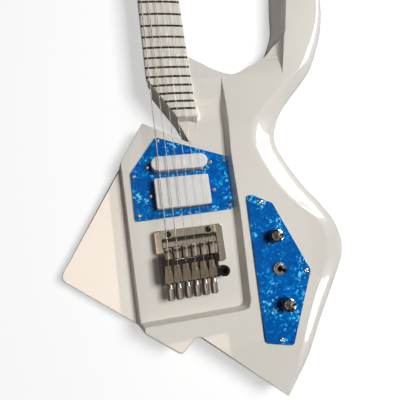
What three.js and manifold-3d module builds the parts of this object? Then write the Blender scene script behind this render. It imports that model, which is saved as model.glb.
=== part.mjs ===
import * as THREE from 'three';
import { mergeVertices } from 'three/addons/utils/BufferGeometryUtils.js';
import Module from 'manifold-3d';

const wasm = await Module();
wasm.setup();

// A headless electric guitar, in millimetres. The back lies on Z = 0 and the face looks up.
// X points to the treble side, Y from the saddle line to the nut, and X = 0 is the middle string gap.

// Gaps and overruns
const seatGap = 0.25;
const runGap = 0.4;
const overrun = 3;
const farReach = 70;

// Body slab: three levels, 12 mm apart, from the raised treble side down to the left wing
const bodyWidth = 390;
const bodyLength = 600;
const bodyThickness = 42;
const levelStep = 12;
const backRound = 4;
const edgeRound = 2;
const stepDraft = 8;
const wallDraft = 4;
const creaseAngle = THREE.MathUtils.degToRad(25);
const bevelSteps = 5;
const backSteps = 3;
const samplesPerStation = 2;

// Treble edge from the tail corner round the horn to the neck, shares of body width and length:
// outer x, outer y, crease x, crease y, then bevel depth as a share of thickness, and steepness
const trebleShares = [
  [0.229, -0.310, 0.223, -0.304, 0.19, 0],
  [0.277, -0.286, 0.249, -0.273, 0.43, 0],
  [0.323, -0.260, 0.277, -0.237, 0.60, 0],
  [0.400, -0.183, 0.337, -0.154, 0.62, 0],
  [0.468, -0.116, 0.395, -0.087, 0.62, 0],
  [0.505, -0.076, 0.417, -0.062, 0.62, 0],
  [0.519, -0.044, 0.427, -0.023, 0.62, 0],
  [0.507, 0.003, 0.405, 0.018, 0.62, 0],
  [0.465, 0.051, 0.362, 0.039, 0.62, 0],
  [0.421, 0.089, 0.313, 0.072, 0.62, 0],
  [0.390, 0.123, 0.278, 0.105, 0.62, 0],
  [0.363, 0.157, 0.251, 0.145, 0.62, 0],
  [0.346, 0.187, 0.233, 0.182, 0.62, 0],
  [0.346, 0.210, 0.235, 0.207, 0.62, 0],
  [0.364, 0.242, 0.249, 0.235, 0.62, 0],
  [0.389, 0.268, 0.277, 0.256, 0.62, 0],
  [0.430, 0.297, 0.324, 0.286, 0.62, 0],
  [0.491, 0.337, 0.392, 0.322, 0.62, 0],
  [0.527, 0.365, 0.444, 0.347, 0.62, 0],
  [0.554, 0.397, 0.492, 0.393, 0.62, 0],
  [0.599, 0.469, 0.550, 0.468, 0.62, 0],
  [0.619, 0.575, 0.582, 0.575, 0.62, 0],
  [0.606, 0.637, 0.574, 0.628, 0.60, 0],
  [0.569, 0.682, 0.549, 0.665, 0.50, 0],
  [0.531, 0.697, 0.526, 0.682, 0.40, 0],
  [0.503, 0.685, 0.509, 0.670, 0.50, 0.5],
  [0.474, 0.650, 0.490, 0.640, 0.73, 1],
  [0.447, 0.595, 0.469, 0.588, 0.73, 1],
  [0.431, 0.538, 0.454, 0.535, 0.73, 1],
  [0.418, 0.476, 0.435, 0.472, 0.73, 1],
  [0.400, 0.446, 0.419, 0.433, 0.73, 1],
  [0.377, 0.418, 0.385, 0.412, 0.60, 1],
  [0.341, 0.388, 0.346, 0.383, 0.30, 0.6],
  [0.271, 0.361, 0.273, 0.354, 0.12, 0],
  [0.217, 0.344, 0.217, 0.338, 0.10, 0],
  [0.155, 0.356, 0.151, 0.350, 0.10, 0],
  [0.115, 0.371, 0.111, 0.366, 0.10, 0],
  [0.076, 0.386, 0.073, 0.381, 0.10, 0],
];

// A steep wall falls this share of its run over this share of its drop
const steepRunShare = 0.18;
const steepDropShare = 0.38;

// Straight edges from the neck round the left wing back to the tail: x, y shares and corner radius
const cornerRadius = 6;
const cornerShares = [
  [-0.060, 0.332, 1],
  [0.014, 0.253, 1.5],
  [0.045, 0.204, 0.9],
  [-0.098, 0.254, 1],
  [-0.383, -0.034, 1.2],
  [-0.064, -0.198, 1],
  [-0.014, -0.170, 1],
];
const cornerSteps = 4;

// Sunk middle panel: top x, top y, floor x, floor y of its right and lower walls
const recessWallShares = [
  [0.136, -0.140, 0.124, -0.134],
  [0.150, -0.136, 0.137, -0.131],
  [0.156, -0.124, 0.142, -0.123],
  [0.166, 0.045, 0.154, 0.048],
  [0.165, 0.173, 0.156, 0.180],
  [0.172, 0.237, 0.161, 0.229],
  [0.174, 0.290, 0.161, 0.263],
  [0.170, 0.348, 0.160, 0.348],
];
const recessLeftShare = -0.5;
const recessLeftTopShare = -0.137;
const recessLeftFloorShare = -0.133;
const recessUpperShare = 0.292;
const rampStartShare = 0.262;
const rampEndShare = 0.346;
const rampRise = 0.4;
const rampSteps = 6;

// Left wing: the step down to it, shares of body width and length
const wingTopShare = -0.164;
const wingLowShare = -0.27;

// Hollow beside the neck where the horn's inner edge runs out: x, y shares
const scoopEdgeShares = [
  [0.386, 0.337],
  [0.406, 0.392],
  [0.421, 0.437],
];
const scoopLeftShare = 0.23;
const scoopStartShare = 0.338;
const scoopEndShare = 0.410;
const scoopDepth = 11;
const scoopDraft = 2;

// Neck and fretboard
const scaleLength = 647.7;
const fretCount = 24;
const boardHalfNut = 22;
const boardHalfEnd = 28.4;
const boardTail = 10.425;
const boardCutX = 3.4;
const boardCutRise = 52;
const boardThickness = 6;
const boardStand = 8;
const boardRadius = 305;
const boardSteps = 8;
const fretWidth = 2.4;
const fretHeight = 1;
const fretSeat = 0.5;
const fretShoulder = 0.35;
const fretInset = 0.6;
const fretSteps = 4;
const neckDepthHeel = 16.6;
const neckDepthBody = 15.2;
const neckDepthNut = 13.8;
const neckBodyReach = 148.5;
const neckHeadLength = 26;
const neckShaftReach = 45.5;
const neckShoulder = 3;
const neckFullness = 0.78;
const neckSides = 14;
const heelDepth = 17.5;
const heelOverhang = 2;
const heelBassReach = 52.5;
const heelTrebleReach = 85.5;
const flankRun = 9;
const flankReach = 6;
const flankStart = 8;
const trussWidth = 5.6;
const trussDepth = 9;
const trussReach = 70.5;
const trussTail = 13.7;

// Nut, headpiece and strings
const nutLength = 5;
const nutHeight = 9.3;
const nutSpread = 35.3;
const stringNutStand = 8.5;
const headpieceHalf = 22;
const headpieceLength = 24;
const headpieceHeight = 11.5;
const headpieceRound = 3;
const clampRadius = 2.4;
const clampHeight = 2.6;
const clampShareY = 0.55;
const stringHoleRadius = 1.2;
const stringHoleDepth = 20;
const stringEnd = 17;
const stringRadii = [0.585, 0.455, 0.33, 0.215, 0.165, 0.127];
const stringSides = 6;

// Pearl scratchplate on the sunk panel: x, y shares of body width and length
const guardThickness = 2.25;
const guardRound = 3;
const guardShares = [
  [-0.063, 0.220],
  [-0.150, 0.150],
  [-0.151, 0.054],
  [0.153, 0.057],
  [0.1555, 0.168],
];
const guardScrewShares = [
  [-0.059, 0.211],
  [-0.142, 0.142],
  [-0.138, 0.064],
  [0.146, 0.160],
  [0.144, 0.066],
];

// Control plate on the raised side
const plateThickness = 2.25;
const plateRound = 5;
const plateShares = [
  [0.191, 0.084],
  [0.180, -0.205],
  [0.263, -0.219],
  [0.358, -0.085],
  [0.270, 0.057],
];
const plateScrewShares = [
  [0.233, 0.061],
  [0.342, -0.085],
  [0.228, -0.205],
];
const cavityLedge = 6;
const cavityDepth = 27;
const volumeShares = [0.255, -0.009];
const toneShares = [0.257, -0.140];
const switchShares = [0.256, -0.073];

// Small screws with domed heads
const screwHeadRadius = 2.8;
const screwHeadHeight = 1.7;
const screwShankRadius = 1.4;
const screwShankLength = 11;
const screwHoleRadius = 1.75;
const roundSides = 12;

// Pickups
const neckPickupShare = 0.1577;
const neckPickupLength = 68;
const neckPickupWidth = 17.7;
const bridgePickupShare = 0.0998;
const bridgePickupLength = 66;
const bridgePickupWidth = 36.8;
const bridgePickupRound = 2.5;
const pickupStand = 15;
const pickupHeight = 24;
const pickupEdge = 1.4;
const pickupGap = 0.5;
const pickupEarReach = 43.5;
const pickupEarWidth = 9;
const pickupEarHeight = 3;
const pickupScrewX = 38.3;
const pickupScrewRadius = 1.5;
const pickupHeadRadius = 2.7;
const pickupHeadHeight = 1.8;
const pickupPocketDepth = 11;
const pickupPocketGap = 1.6;
const pillSteps = 10;

// Knobs, potentiometers and selector switch
const knobRadius = 8.1;
const knobTopRadius = 7.5;
const knobHeight = 14;
const knobDome = 1.2;
const knobStand = 0.6;
const knobWell = 6;
const knobWellDepth = 2.6;
const knobBoreDepth = 10;
const knobSides = 20;
const potRadius = 8.2;
const potHeight = 10;
const potBushRadius = 3.5;
const potBushHeight = 4.6;
const potNutRadius = 5.2;
const potNutHeight = 1.6;
const potShaftRadius = 3;
const potShaftHeight = 8.5;
const switchHalfWidth = 7;
const switchHalfLength = 12;
const switchHeight = 21;
const switchBushRadius = 5.6;
const switchBushHeight = 3.4;
const switchNutRadius = 7.4;
const switchNutHeight = 2;
const switchWellRadius = 3;
const switchWellDepth = 7;
const leverBallRadius = 2.6;
const leverDrop = 0.6;
const leverRadius = 1.4;
const leverHeight = 15;
const leverTiltAngle = 16;
const leverTurnAngle = 50;
const leverTipRadius = 2.3;
const leverTipHeight = 7;

// Output jack in the lower edge
const jackXShare = 0.2;
const jackZ = 21;
const jackSeatRadius = 10;
const jackSeatInset = 11;
const jackBarrelRadius = 5.8;
const jackBarrelLength = 40;
const jackNutRadius = 8;
const jackNutHeight = 2.2;
const jackBoreRadius = 3.2;
const jackBoreDepth = 34;

// Strap buttons at the horn tip and the tail corner
const buttonRadius = 7.5;
const buttonWaist = 4;
const buttonBase = 5.5;
const buttonHeight = 10;
const buttonLip = 2;
const buttonShankRadius = 1.8;
const buttonShankLength = 16;
const buttonInset = 1.6;
const tailButtonInset = 10;
const buttonSeatRadius = 6.5;
const hornButtonZ = 16;
const tailButtonZ = 12;
const hornButtonXShare = 0.531;
const tailButtonXShare = 0.2385;

// Bridge frame: two rails joined by a low front bar
const frameHalf = 39.8;
const railWidth = 7.8;
const railHeight = 9.8;
const frontBarHeight = 5.8;
const frameFrontY = 18.2;
const frontBarDepth = 9.2;
const bassRailEndY = -7.2;
const trebleRailEndY = -25.5;
const frameRound = 3.5;
const frameScrewX = 23.6;
const frameScrewY = 13.2;
const frameScrewRadius = 3.6;
const frameScrewHeight = 1.8;
const frameShankRadius = 2.2;
const frameShankLength = 16;

// Rocking carriage on its cross shaft, with the spring arm below
const pivotY = 3;
const pivotStand = 5;
const shaftRadius = 2.5;
const shaftGap = 0.2;
const hubRadius = 4.5;
const deckStand = 9.8;
const deckThickness = 3.4;
const deckRearY = -15;
const tailTopStand = 8.4;
const tailBottomStand = 4.6;
const tailRearY = -41.8;
const tailWall = 2.5;
const tailWallStand = 15.5;
const tailSideStand = 16;
const bassPlateOuter = -38.3;
const bassPlateWidth = 4;
const bassPlateFrontY = -10.6;
const treblePlateWidth = 3;
const springArmHalf = 16;
const springArmDepth = 6;
const springArmReach = 17.5;
const springPocketDepth = 21.5;
const springPocketHalf = 20;
const springPocketRearY = -38;
const springPocketFrontY = 10;
const springX = 9;
const springDrop = 14;
const springRadius = 4.6;
const springWire = 0.75;
const springTurns = 7;
const springStepsPerTurn = 8;
const springSides = 5;

// Saddles
const saddlePitch = 10.44;
const saddleMiddleX = -1;
const saddleHalf = 4.7;
const saddleRearY = -14.8;
const saddleNose = 3.4;
const saddleBassBreakY = -6.2;
const saddleTrebleBreakY = -2.9;
const saddleWallHeight = 5.4;
const humpOffset = 3.05;
const humpRadius = 1.65;
const humpSteps = 4;
const stringStand = 19;
const ridgeRadius = 1.2;
const ridgeHalf = 1.35;
const ridgeGap = 0.15;
const setScrewRadius = 1.4;
const setScrewHeight = 9.6;

// String jaws and tuner knobs
const jawPitch = 9.9;
const jawMiddleX = -4.6;
const jawFrontY = -21.8;
const jawBackY = -37;
const jawLipY = -40.3;
const jawLipHeight = 2.2;
const jawHeight = 9.3;
const jawSlotX = 0.9;
const jawSlotWidth = 2.6;
const jawSlotEndY = -31;
const jawShoulderY = -27;
const jawShoulderRun = 3;
const jawFrontLeft = -2.7;
const jawFrontRight = 3.7;
const jawBackLeft = -4.6;
const jawBackRight = 4.8;
const jawStringStand = 16.8;
const jawStringY = -24.5;
const jawStringEndY = -28;
const tunerStand = 13.4;
const tunerRadius = 4.1;
const tunerCollarRadius = 3.3;
const tunerCollarLength = 3.4;
const tunerLength = 17;
const tunerChamfer = 0.7;
const tunerStemRadius = 2;
const tunerStemGap = 0.3;
const tunerStemTipY = -27.5;
const tunerFrontGap = 0.5;
const tunerBoreSpare = 2.6;

// Socket for the tremolo arm
const armX = 34.8;
const armY = -36.6;
const armLugRadius = 6.5;
const armLugStand = 5.5;
const armLugHeight = 6;
const armSleeveRadius = 4.4;
const armFlangeRadius = 6.2;
const armFlangeHeight = 3.6;
const armBoreRadius = 3.1;
const armBoreDepth = 8;
const armLugHalf = 3;

// Places along the strings worked out from the sizes above
const boardEndY = scaleLength * 2 ** (-fretCount / 12) - boardTail;
const heelBassY = boardEndY + heelBassReach;
const heelTrebleY = boardEndY + heelTrebleReach;
const neckShaftStart = boardEndY + neckShaftReach;
const neckBodyY = boardEndY + neckBodyReach;
const trussStart = boardEndY + trussReach;
const trussEnd = scaleLength - trussTail;
const neckPickupY = neckPickupShare * bodyLength;
const bridgePickupY = bridgePickupShare * bodyLength;

// Levels worked out from the sizes above
const floorZ = bodyThickness - levelStep;
const wingZ = bodyThickness - 2 * levelStep;
const boardBottomZ = floorZ + boardStand;
const boardTopZ = boardBottomZ + boardThickness;
const neckTopZ = boardBottomZ - seatGap;
const pocketZ = neckTopZ - heelDepth - seatGap;
const guardBottomZ = floorZ + seatGap;
const guardTopZ = guardBottomZ + guardThickness;
const plateBottomZ = bodyThickness + seatGap;
const plateTopZ = plateBottomZ + plateThickness;
const pickupTopZ = floorZ + pickupStand;
const pickupBottomZ = pickupTopZ - pickupHeight;
const frameBottomZ = floorZ + seatGap;
const pivotZ = floorZ + pivotStand;
const deckZ = floorZ + deckStand;
const saddleBottomZ = deckZ + seatGap;
const stringSaddleZ = floorZ + stringStand;
const stringNutZ = boardBottomZ + stringNutStand;
const jawBottomZ = floorZ + tailTopStand + seatGap;
const jawTopZ = jawBottomZ + jawHeight;
const tunerZ = floorZ + tunerStand;
const deepZ = -farReach;
const highZ = bodyThickness + farReach;

// Finishes: colour, roughness, metalness
const finishes = {
  white: [0xf1efe9, 0.25, 0],
  board: [0xe6e0d4, 0.5, 0],
  pearl: [0x2f8fc4, 0.25, 0.1],
  black: [0x17171a, 0.4, 0],
  bone: [0xe9e2cf, 0.5, 0],
  satin: [0x9c9a94, 0.45, 1],
  darkMetal: [0x2c2c2e, 0.4, 1],
  steel: [0xc6c6c4, 0.25, 1],
};

const guitar = new THREE.Group();

// Solids and meshes

function signedVolume(position, index) {
  let total = 0;
  const a = new THREE.Vector3();
  const b = new THREE.Vector3();
  const c = new THREE.Vector3();
  for (let i = 0; i < index.length; i += 3) {
    a.fromBufferAttribute(position, index[i]);
    b.fromBufferAttribute(position, index[i + 1]);
    c.fromBufferAttribute(position, index[i + 2]);
    total += a.dot(b.cross(c));
  }
  return total;
}

function solid(geometry) {
  const bare = geometry.clone();
  bare.deleteAttribute('normal');
  bare.deleteAttribute('uv');
  const merged = mergeVertices(bare);
  const kept = [];
  const source = merged.index.array;
  const outward = signedVolume(merged.attributes.position, source) > 0;
  for (let i = 0; i < source.length; i += 3) {
    const [a, b, c] = [source[i], source[i + 1], source[i + 2]];
    if (a !== b && b !== c && c !== a) {
      kept.push(...(outward ? [a, b, c] : [a, c, b]));
    }
  }
  const vertProperties = new Float32Array(merged.attributes.position.array);
  const triVerts = new Uint32Array(kept);
  return new wasm.Manifold(new wasm.Mesh({ numProp: 3, vertProperties, triVerts }));
}

function cut(shape, ...tools) {
  return tools.reduce((rest, tool) => rest.subtract(tool), shape);
}

function join(shape, ...others) {
  return others.reduce((whole, other) => whole.add(other), shape);
}

function addPiece(name, shape, finish) {
  const mesh = shape.getMesh();
  const geometry = new THREE.BufferGeometry();
  geometry.setAttribute('position', new THREE.BufferAttribute(mesh.vertProperties, 3));
  geometry.setIndex(new THREE.BufferAttribute(mesh.triVerts, 1));
  geometry.computeVertexNormals();
  const [color, roughness, metalness] = finishes[finish];
  const material = new THREE.MeshStandardMaterial({ color, roughness, metalness });
  const piece = new THREE.Mesh(geometry, material);
  piece.name = name;
  guitar.add(piece);
}

// Basic forms

function block(x0, x1, y0, y1, z0, z1) {
  const geometry = new THREE.BoxGeometry(x1 - x0, y1 - y0, z1 - z0);
  geometry.translate((x0 + x1) / 2, (y0 + y1) / 2, (z0 + z1) / 2);
  return solid(geometry);
}

function prism(points, z0, z1) {
  const shape = new THREE.Shape(points.map(([x, y]) => new THREE.Vector2(x, y)));
  const geometry = new THREE.ExtrudeGeometry(shape, { depth: z1 - z0, bevelEnabled: false });
  geometry.translate(0, 0, z0);
  return solid(geometry);
}

// A profile in Y and Z, run along X
function sideways(points, x0, x1) {
  const shape = new THREE.Shape(points.map(([y, z]) => new THREE.Vector2(y, z)));
  const geometry = new THREE.ExtrudeGeometry(shape, { depth: x1 - x0, bevelEnabled: false });
  geometry.rotateY(Math.PI / 2);
  geometry.rotateX(Math.PI / 2);
  geometry.translate(x0, 0, 0);
  return solid(geometry);
}

// A profile in X and Z, run along Y
function lengthways(points, y0, y1) {
  const shape = new THREE.Shape(points.map(([x, z]) => new THREE.Vector2(x, z)));
  const geometry = new THREE.ExtrudeGeometry(shape, { depth: y1 - y0, bevelEnabled: false });
  geometry.rotateX(Math.PI / 2);
  geometry.translate(0, y1, 0);
  return solid(geometry);
}

// A turned piece on a vertical axis: profile of radius and height
function turned(profile, x, y, sides) {
  const points = profile.map(([radius, z]) => new THREE.Vector2(radius, z));
  const geometry = new THREE.LatheGeometry(points, sides);
  geometry.rotateX(Math.PI / 2);
  geometry.translate(x, y, 0);
  return solid(geometry);
}

// A turned piece whose axis runs along Y: profile of radius and Y
function turnedAlongY(profile, x, z, sides) {
  const points = profile.map(([radius, y]) => new THREE.Vector2(radius, y));
  const geometry = new THREE.LatheGeometry(points, sides);
  geometry.translate(x, 0, z);
  return solid(geometry);
}

function peg(x, y, z0, z1, radius, sides = roundSides) {
  return turned([[0, z0], [radius, z0], [radius, z1], [0, z1]], x, y, sides);
}

function pegAlongY(x, z, y0, y1, radius, sides = roundSides) {
  return turnedAlongY([[0, y0], [radius, y0], [radius, y1], [0, y1]], x, z, sides);
}

function pegAlongX(y, z, x0, x1, radius, sides = roundSides) {
  const geometry = new THREE.CylinderGeometry(radius, radius, x1 - x0, sides);
  geometry.rotateZ(Math.PI / 2);
  geometry.translate((x0 + x1) / 2, y, z);
  return solid(geometry);
}

// Skin over a row of rings with the same number of points, closed at both ends
function loft(rings) {
  const count = rings[0].length;
  const positions = rings.flat(2);
  const index = [];
  for (let ring = 0; ring + 1 < rings.length; ring += 1) {
    for (let i = 0; i < count; i += 1) {
      const next = (i + 1) % count;
      const a = ring * count + i;
      const b = ring * count + next;
      index.push(a, b, b + count, a, b + count, a + count);
    }
  }
  const last = (rings.length - 1) * count;
  capTriangles(rings[0]).forEach(([a, b, c]) => index.push(a, c, b));
  capTriangles(rings[rings.length - 1]).forEach(([a, b, c]) => index.push(last + a, last + b, last + c));
  const geometry = new THREE.BufferGeometry();
  geometry.setAttribute('position', new THREE.Float32BufferAttribute(positions, 3));
  geometry.setIndex(index);
  return solid(geometry);
}

// Triangles of a flat ring, wound the same way as the ring
function capTriangles(ring) {
  const normal = new THREE.Vector3();
  ring.forEach((point, i) => {
    const a = new THREE.Vector3(...point);
    const b = new THREE.Vector3(...ring[(i + 1) % ring.length]);
    normal.add(a.cross(b));
  });
  const size = [Math.abs(normal.x), Math.abs(normal.y), Math.abs(normal.z)];
  const axis = size.indexOf(Math.max(...size));
  const [u, v] = [[1, 2], [2, 0], [0, 1]][axis];
  const flat = ring.map((point) => new THREE.Vector2(point[u], point[v]));
  const forward = normal.getComponent(axis) > 0;
  return THREE.ShapeUtils.triangulateShape(flat, []).map(([a, b, c]) => {
    const turn = (flat[b].x - flat[a].x) * (flat[c].y - flat[a].y)
      - (flat[c].x - flat[a].x) * (flat[b].y - flat[a].y);
    return (turn > 0) === forward ? [a, b, c] : [a, c, b];
  });
}

// A round wire along a row of points
function wire(points, radius, sides) {
  const rings = [];
  let side = new THREE.Vector3(1, 0, 0);
  points.forEach((point, i) => {
    const before = points[Math.max(i - 1, 0)];
    const after = points[Math.min(i + 1, points.length - 1)];
    const along = after.clone().sub(before).normalize();
    side = side.clone().addScaledVector(along, -side.dot(along)).normalize();
    const across = along.clone().cross(side);
    const ring = [];
    for (let k = 0; k < sides; k += 1) {
      const angle = (k / sides) * Math.PI * 2;
      const out = side.clone().multiplyScalar(Math.cos(angle) * radius);
      out.addScaledVector(across, Math.sin(angle) * radius);
      ring.push(point.clone().add(out).toArray());
    }
    rings.push(ring);
  });
  return loft(rings);
}

// Points of an outline

function onBody([xShare, yShare]) {
  return [xShare * bodyWidth, yShare * bodyLength];
}

// Corner i of a row of points as an arc of the given radius
function cornerArc(before, at, after, radius, steps) {
  const corner = new THREE.Vector2(...at);
  const back = new THREE.Vector2(...before).sub(corner);
  const ahead = new THREE.Vector2(...after).sub(corner);
  const room = Math.min(back.length(), ahead.length()) / 2;
  back.normalize();
  ahead.normalize();
  const half = Math.acos(THREE.MathUtils.clamp(back.dot(ahead), -1, 1)) / 2;
  const tangent = Math.min(radius / Math.tan(half), room);
  const start = corner.clone().addScaledVector(back, tangent);
  const end = corner.clone().addScaledVector(ahead, tangent);
  const curve = new THREE.QuadraticBezierCurve(start, corner, end);
  const round = tangent * Math.tan(half);
  const middle = back.clone().add(ahead).normalize();
  const centre = corner.clone().addScaledVector(middle, round / Math.sin(half));
  return curve.getPoints(steps).map((point) => {
    const out = point.clone().sub(centre).setLength(round).add(centre);
    return [out.x, out.y];
  });
}

function rounded(points, radius, steps = cornerSteps) {
  const count = points.length;
  return points.flatMap((point, i) => {
    const before = points[(i + count - 1) % count];
    const after = points[(i + 1) % count];
    return cornerArc(before, point, after, radius, steps);
  });
}

// Moves each point of a closed ring, running anticlockwise, inward by the distance given for it
function insetRing(points, distanceOf) {
  const count = points.length;
  return points.map((point, i) => {
    const here = new THREE.Vector2(...point);
    const back = here.clone().sub(new THREE.Vector2(...points[(i + count - 1) % count])).normalize();
    const ahead = new THREE.Vector2(...points[(i + 1) % count]).sub(here).normalize();
    const normal = new THREE.Vector2(-back.y - ahead.y, back.x + ahead.x).normalize();
    const reach = distanceOf(i) / Math.max(normal.dot(new THREE.Vector2(-back.y, back.x)), 1 / 2);
    return [here.x + normal.x * reach, here.y + normal.y * reach];
  });
}

function atHeight(points, z) {
  return points.map(([x, y]) => [x, y, z]);
}

// A lid with a softly rounded top edge over an outline
function softBlock(outline, z0, z1, round) {
  const rings = [atHeight(outline, z0)];
  for (let step = 0; step <= 2; step += 1) {
    const angle = (step / 2) * (Math.PI / 2);
    const inset = round * (1 - Math.cos(angle));
    const z = z1 - round + round * Math.sin(angle);
    rings.push(atHeight(insetRing(outline, () => inset), z));
  }
  return loft(rings);
}

// Half width of the fretboard at a place along the string
function boardHalf(y) {
  const share = (scaleLength - y) / (scaleLength - boardEndY);
  return boardHalfNut + (boardHalfEnd - boardHalfNut) * share;
}

// Bass side of the fretboard's slanting end, moved inward by a distance
function boardCutLine(inward) {
  const foot = new THREE.Vector2(boardCutX, boardEndY);
  const top = new THREE.Vector2(-boardHalf(boardEndY + boardCutRise), boardEndY + boardCutRise);
  const along = top.clone().sub(foot).normalize();
  const across = new THREE.Vector2(along.y, -along.x).multiplyScalar(inward);
  foot.add(across);
  top.add(across);
  return { foot, top, along };
}

// Wedge that trims everything on the bass side of the slanting end
function bassTrim(inward) {
  const { foot, top, along } = boardCutLine(inward);
  const low = foot.clone().addScaledVector(along, -farReach);
  const high = top.clone().addScaledVector(along, farReach);
  const away = new THREE.Vector2(-along.y, along.x).multiplyScalar(farReach);
  const corners = [low, high, high.clone().add(away), low.clone().add(away)];
  return prism(corners.map((corner) => corner.toArray()), deepZ, highZ);
}

// Body

function bodyOutline() {
  const curve = (a, b) => new THREE.CatmullRomCurve3(
    trebleShares.map((row) => new THREE.Vector3(row[a] * bodyWidth, row[b] * bodyLength, 0)),
    false,
    'centripetal',
  );
  const outerCurve = curve(0, 1);
  const creaseCurve = curve(2, 3);
  const stretches = trebleShares.length - 1;
  const samples = stretches * samplesPerStation;
  const stations = [];
  for (let i = 0; i <= samples; i += 1) {
    const outer = outerCurve.getPoint(i / samples);
    const crease = creaseCurve.getPoint(i / samples);
    const place = Math.min(i / samplesPerStation, stretches - 1 / samplesPerStation);
    const low = trebleShares[Math.floor(place)];
    const high = trebleShares[Math.min(Math.floor(place) + 1, stretches)];
    const part = i === samples ? 1 : place - Math.floor(place);
    stations.push({
      outer: [outer.x, outer.y],
      crease: [crease.x, crease.y],
      drop: THREE.MathUtils.lerp(low[4], high[4], part) * bodyThickness,
      steep: THREE.MathUtils.lerp(low[5], high[5], part),
    });
  }
  const chain = cornerShares.map(([x, y]) => onBody([x, y]));
  const first = stations[stations.length - 1].outer;
  const last = stations[0].outer;
  chain.forEach((point, i) => {
    const before = i === 0 ? first : chain[i - 1];
    const after = i === chain.length - 1 ? last : chain[i + 1];
    const radius = cornerRadius * cornerShares[i][2];
    cornerArc(before, point, after, radius, cornerSteps).forEach((outer) => {
      stations.push({ outer, crease: null, drop: edgeRound, steep: 0 });
    });
  });
  const ring = stations.map((station) => station.outer);
  const inner = insetRing(ring, () => edgeRound);
  stations.forEach((station, i) => {
    if (!station.crease) station.crease = inner[i];
  });
  return stations;
}

function bodySlab(stations) {
  const ring = stations.map((station) => station.outer);
  const rings = [];
  for (let step = 0; step <= bevelSteps; step += 1) {
    const angle = creaseAngle + (step / bevelSteps) * (Math.PI / 2 - creaseAngle);
    const run = (Math.sin(angle) - Math.sin(creaseAngle)) / (1 - Math.sin(creaseAngle));
    const fall = (Math.cos(creaseAngle) - Math.cos(angle)) / Math.cos(creaseAngle);
    const line = step / bevelSteps;
    const steepRun = line < steepDropShare
      ? (line / steepDropShare) * steepRunShare
      : steepRunShare + ((line - steepDropShare) / (1 - steepDropShare)) * (1 - steepRunShare);
    rings.push(stations.map(({ outer, crease, drop, steep }) => {
      const across = THREE.MathUtils.lerp(run, steepRun, steep);
      const down = THREE.MathUtils.lerp(fall, line, steep);
      return [
        crease[0] + (outer[0] - crease[0]) * across,
        crease[1] + (outer[1] - crease[1]) * across,
        bodyThickness - drop * down,
      ];
    }));
  }
  for (let step = 0; step <= backSteps; step += 1) {
    const angle = (step / backSteps) * (Math.PI / 2);
    const inset = backRound * (1 - Math.cos(angle));
    rings.push(atHeight(insetRing(ring, () => inset), backRound * (1 - Math.sin(angle))));
  }
  return loft(rings.reverse());
}

// Smooth rise between two levels along Y
function rise(y0, z0, y1, z1) {
  const points = [];
  for (let step = 0; step <= rampSteps; step += 1) {
    const part = step / rampSteps;
    const eased = part * part * (3 - 2 * part);
    points.push([THREE.MathUtils.lerp(y0, y1, part), THREE.MathUtils.lerp(z0, z1, eased)]);
  }
  return points;
}

// Sunk panel: slanting walls, a ramp up beside the neck and a hollow flank along the neck
function recessTool() {
  const neckX = boardHalf(boardEndY) + seatGap;
  const endY = boardEndY - seatGap;
  const walls = recessWallShares.map(([topX, topY, lowX, lowY]) => ({
    top: onBody([topX, topY]),
    low: onBody([lowX, lowY]),
    hollow: false,
  }));
  const rampEnd = onBody([0, recessWallShares[recessWallShares.length - 1][1]])[1];
  const flank = [
    [[neckX, rampEnd], [neckX + flankRun, rampEnd]],
    [[neckX, endY + flankStart], [neckX + flankRun, endY + flankStart]],
    [[neckX, endY + seatGap], [neckX + flankRun * Math.cos(Math.PI / 4), endY - flankReach / 2]],
    [[neckX - seatGap, endY], [neckX, endY - flankReach]],
    [[neckX - flankReach, endY], [neckX - flankReach, endY - seatGap]],
  ].map(([top, low]) => ({ top, low, hollow: true }));
  const upperY = recessUpperShare * bodyLength;
  const leftX = recessLeftShare * bodyWidth;
  const { foot, top: cutTop } = boardCutLine(heelOverhang);
  const bassX = THREE.MathUtils.lerp(foot.x, cutTop.x, (upperY - foot.y) / (cutTop.y - foot.y));
  const plain = [
    [[foot.x, endY], [foot.x, endY]],
    [[bassX, upperY], [bassX, upperY]],
    [[leftX, upperY], [leftX, upperY]],
    [[leftX, recessLeftTopShare * bodyLength], [leftX, recessLeftFloorShare * bodyLength]],
  ].map(([top, low]) => ({ top, low, hollow: false }));
  const corners = [...walls, ...flank, ...plain];
  const rings = [atHeight(corners.map(({ low }) => low), floorZ - overrun)];
  for (let step = 0; step <= backSteps; step += 1) {
    const angle = (step / backSteps) * (Math.PI / 2);
    const height = 1 - Math.cos(angle);
    rings.push(corners.map(({ top, low, hollow }) => {
      const reach = hollow ? Math.sin(angle) : height;
      return [
        THREE.MathUtils.lerp(low[0], top[0], reach),
        THREE.MathUtils.lerp(low[1], top[1], reach),
        floorZ + levelStep * height,
      ];
    }));
  }
  rings.push(atHeight(corners.map(({ top }) => top), highZ));
  const profile = [
    [-bodyLength, highZ],
    [-bodyLength, floorZ],
    ...rise(rampStartShare * bodyLength, floorZ, rampEndShare * bodyLength, bodyThickness + rampRise),
    [rampEndShare * bodyLength, highZ],
  ];
  return loft(rings).intersect(sideways(profile, -bodyWidth, bodyWidth));
}

// Left wing: everything beyond a slanting step, down to the lowest level
function wingTool() {
  const topX = wingTopShare * bodyWidth;
  const leftX = -bodyWidth;
  const lowY = -bodyLength;
  const highY = recessUpperShare * bodyLength;
  const ring = (x, z) => atHeight([[leftX, lowY], [x, lowY], [x, highY], [leftX, highY]], z);
  return loft([ring(topX - stepDraft, wingZ), ring(topX, bodyThickness), ring(topX, highZ)]);
}

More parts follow.
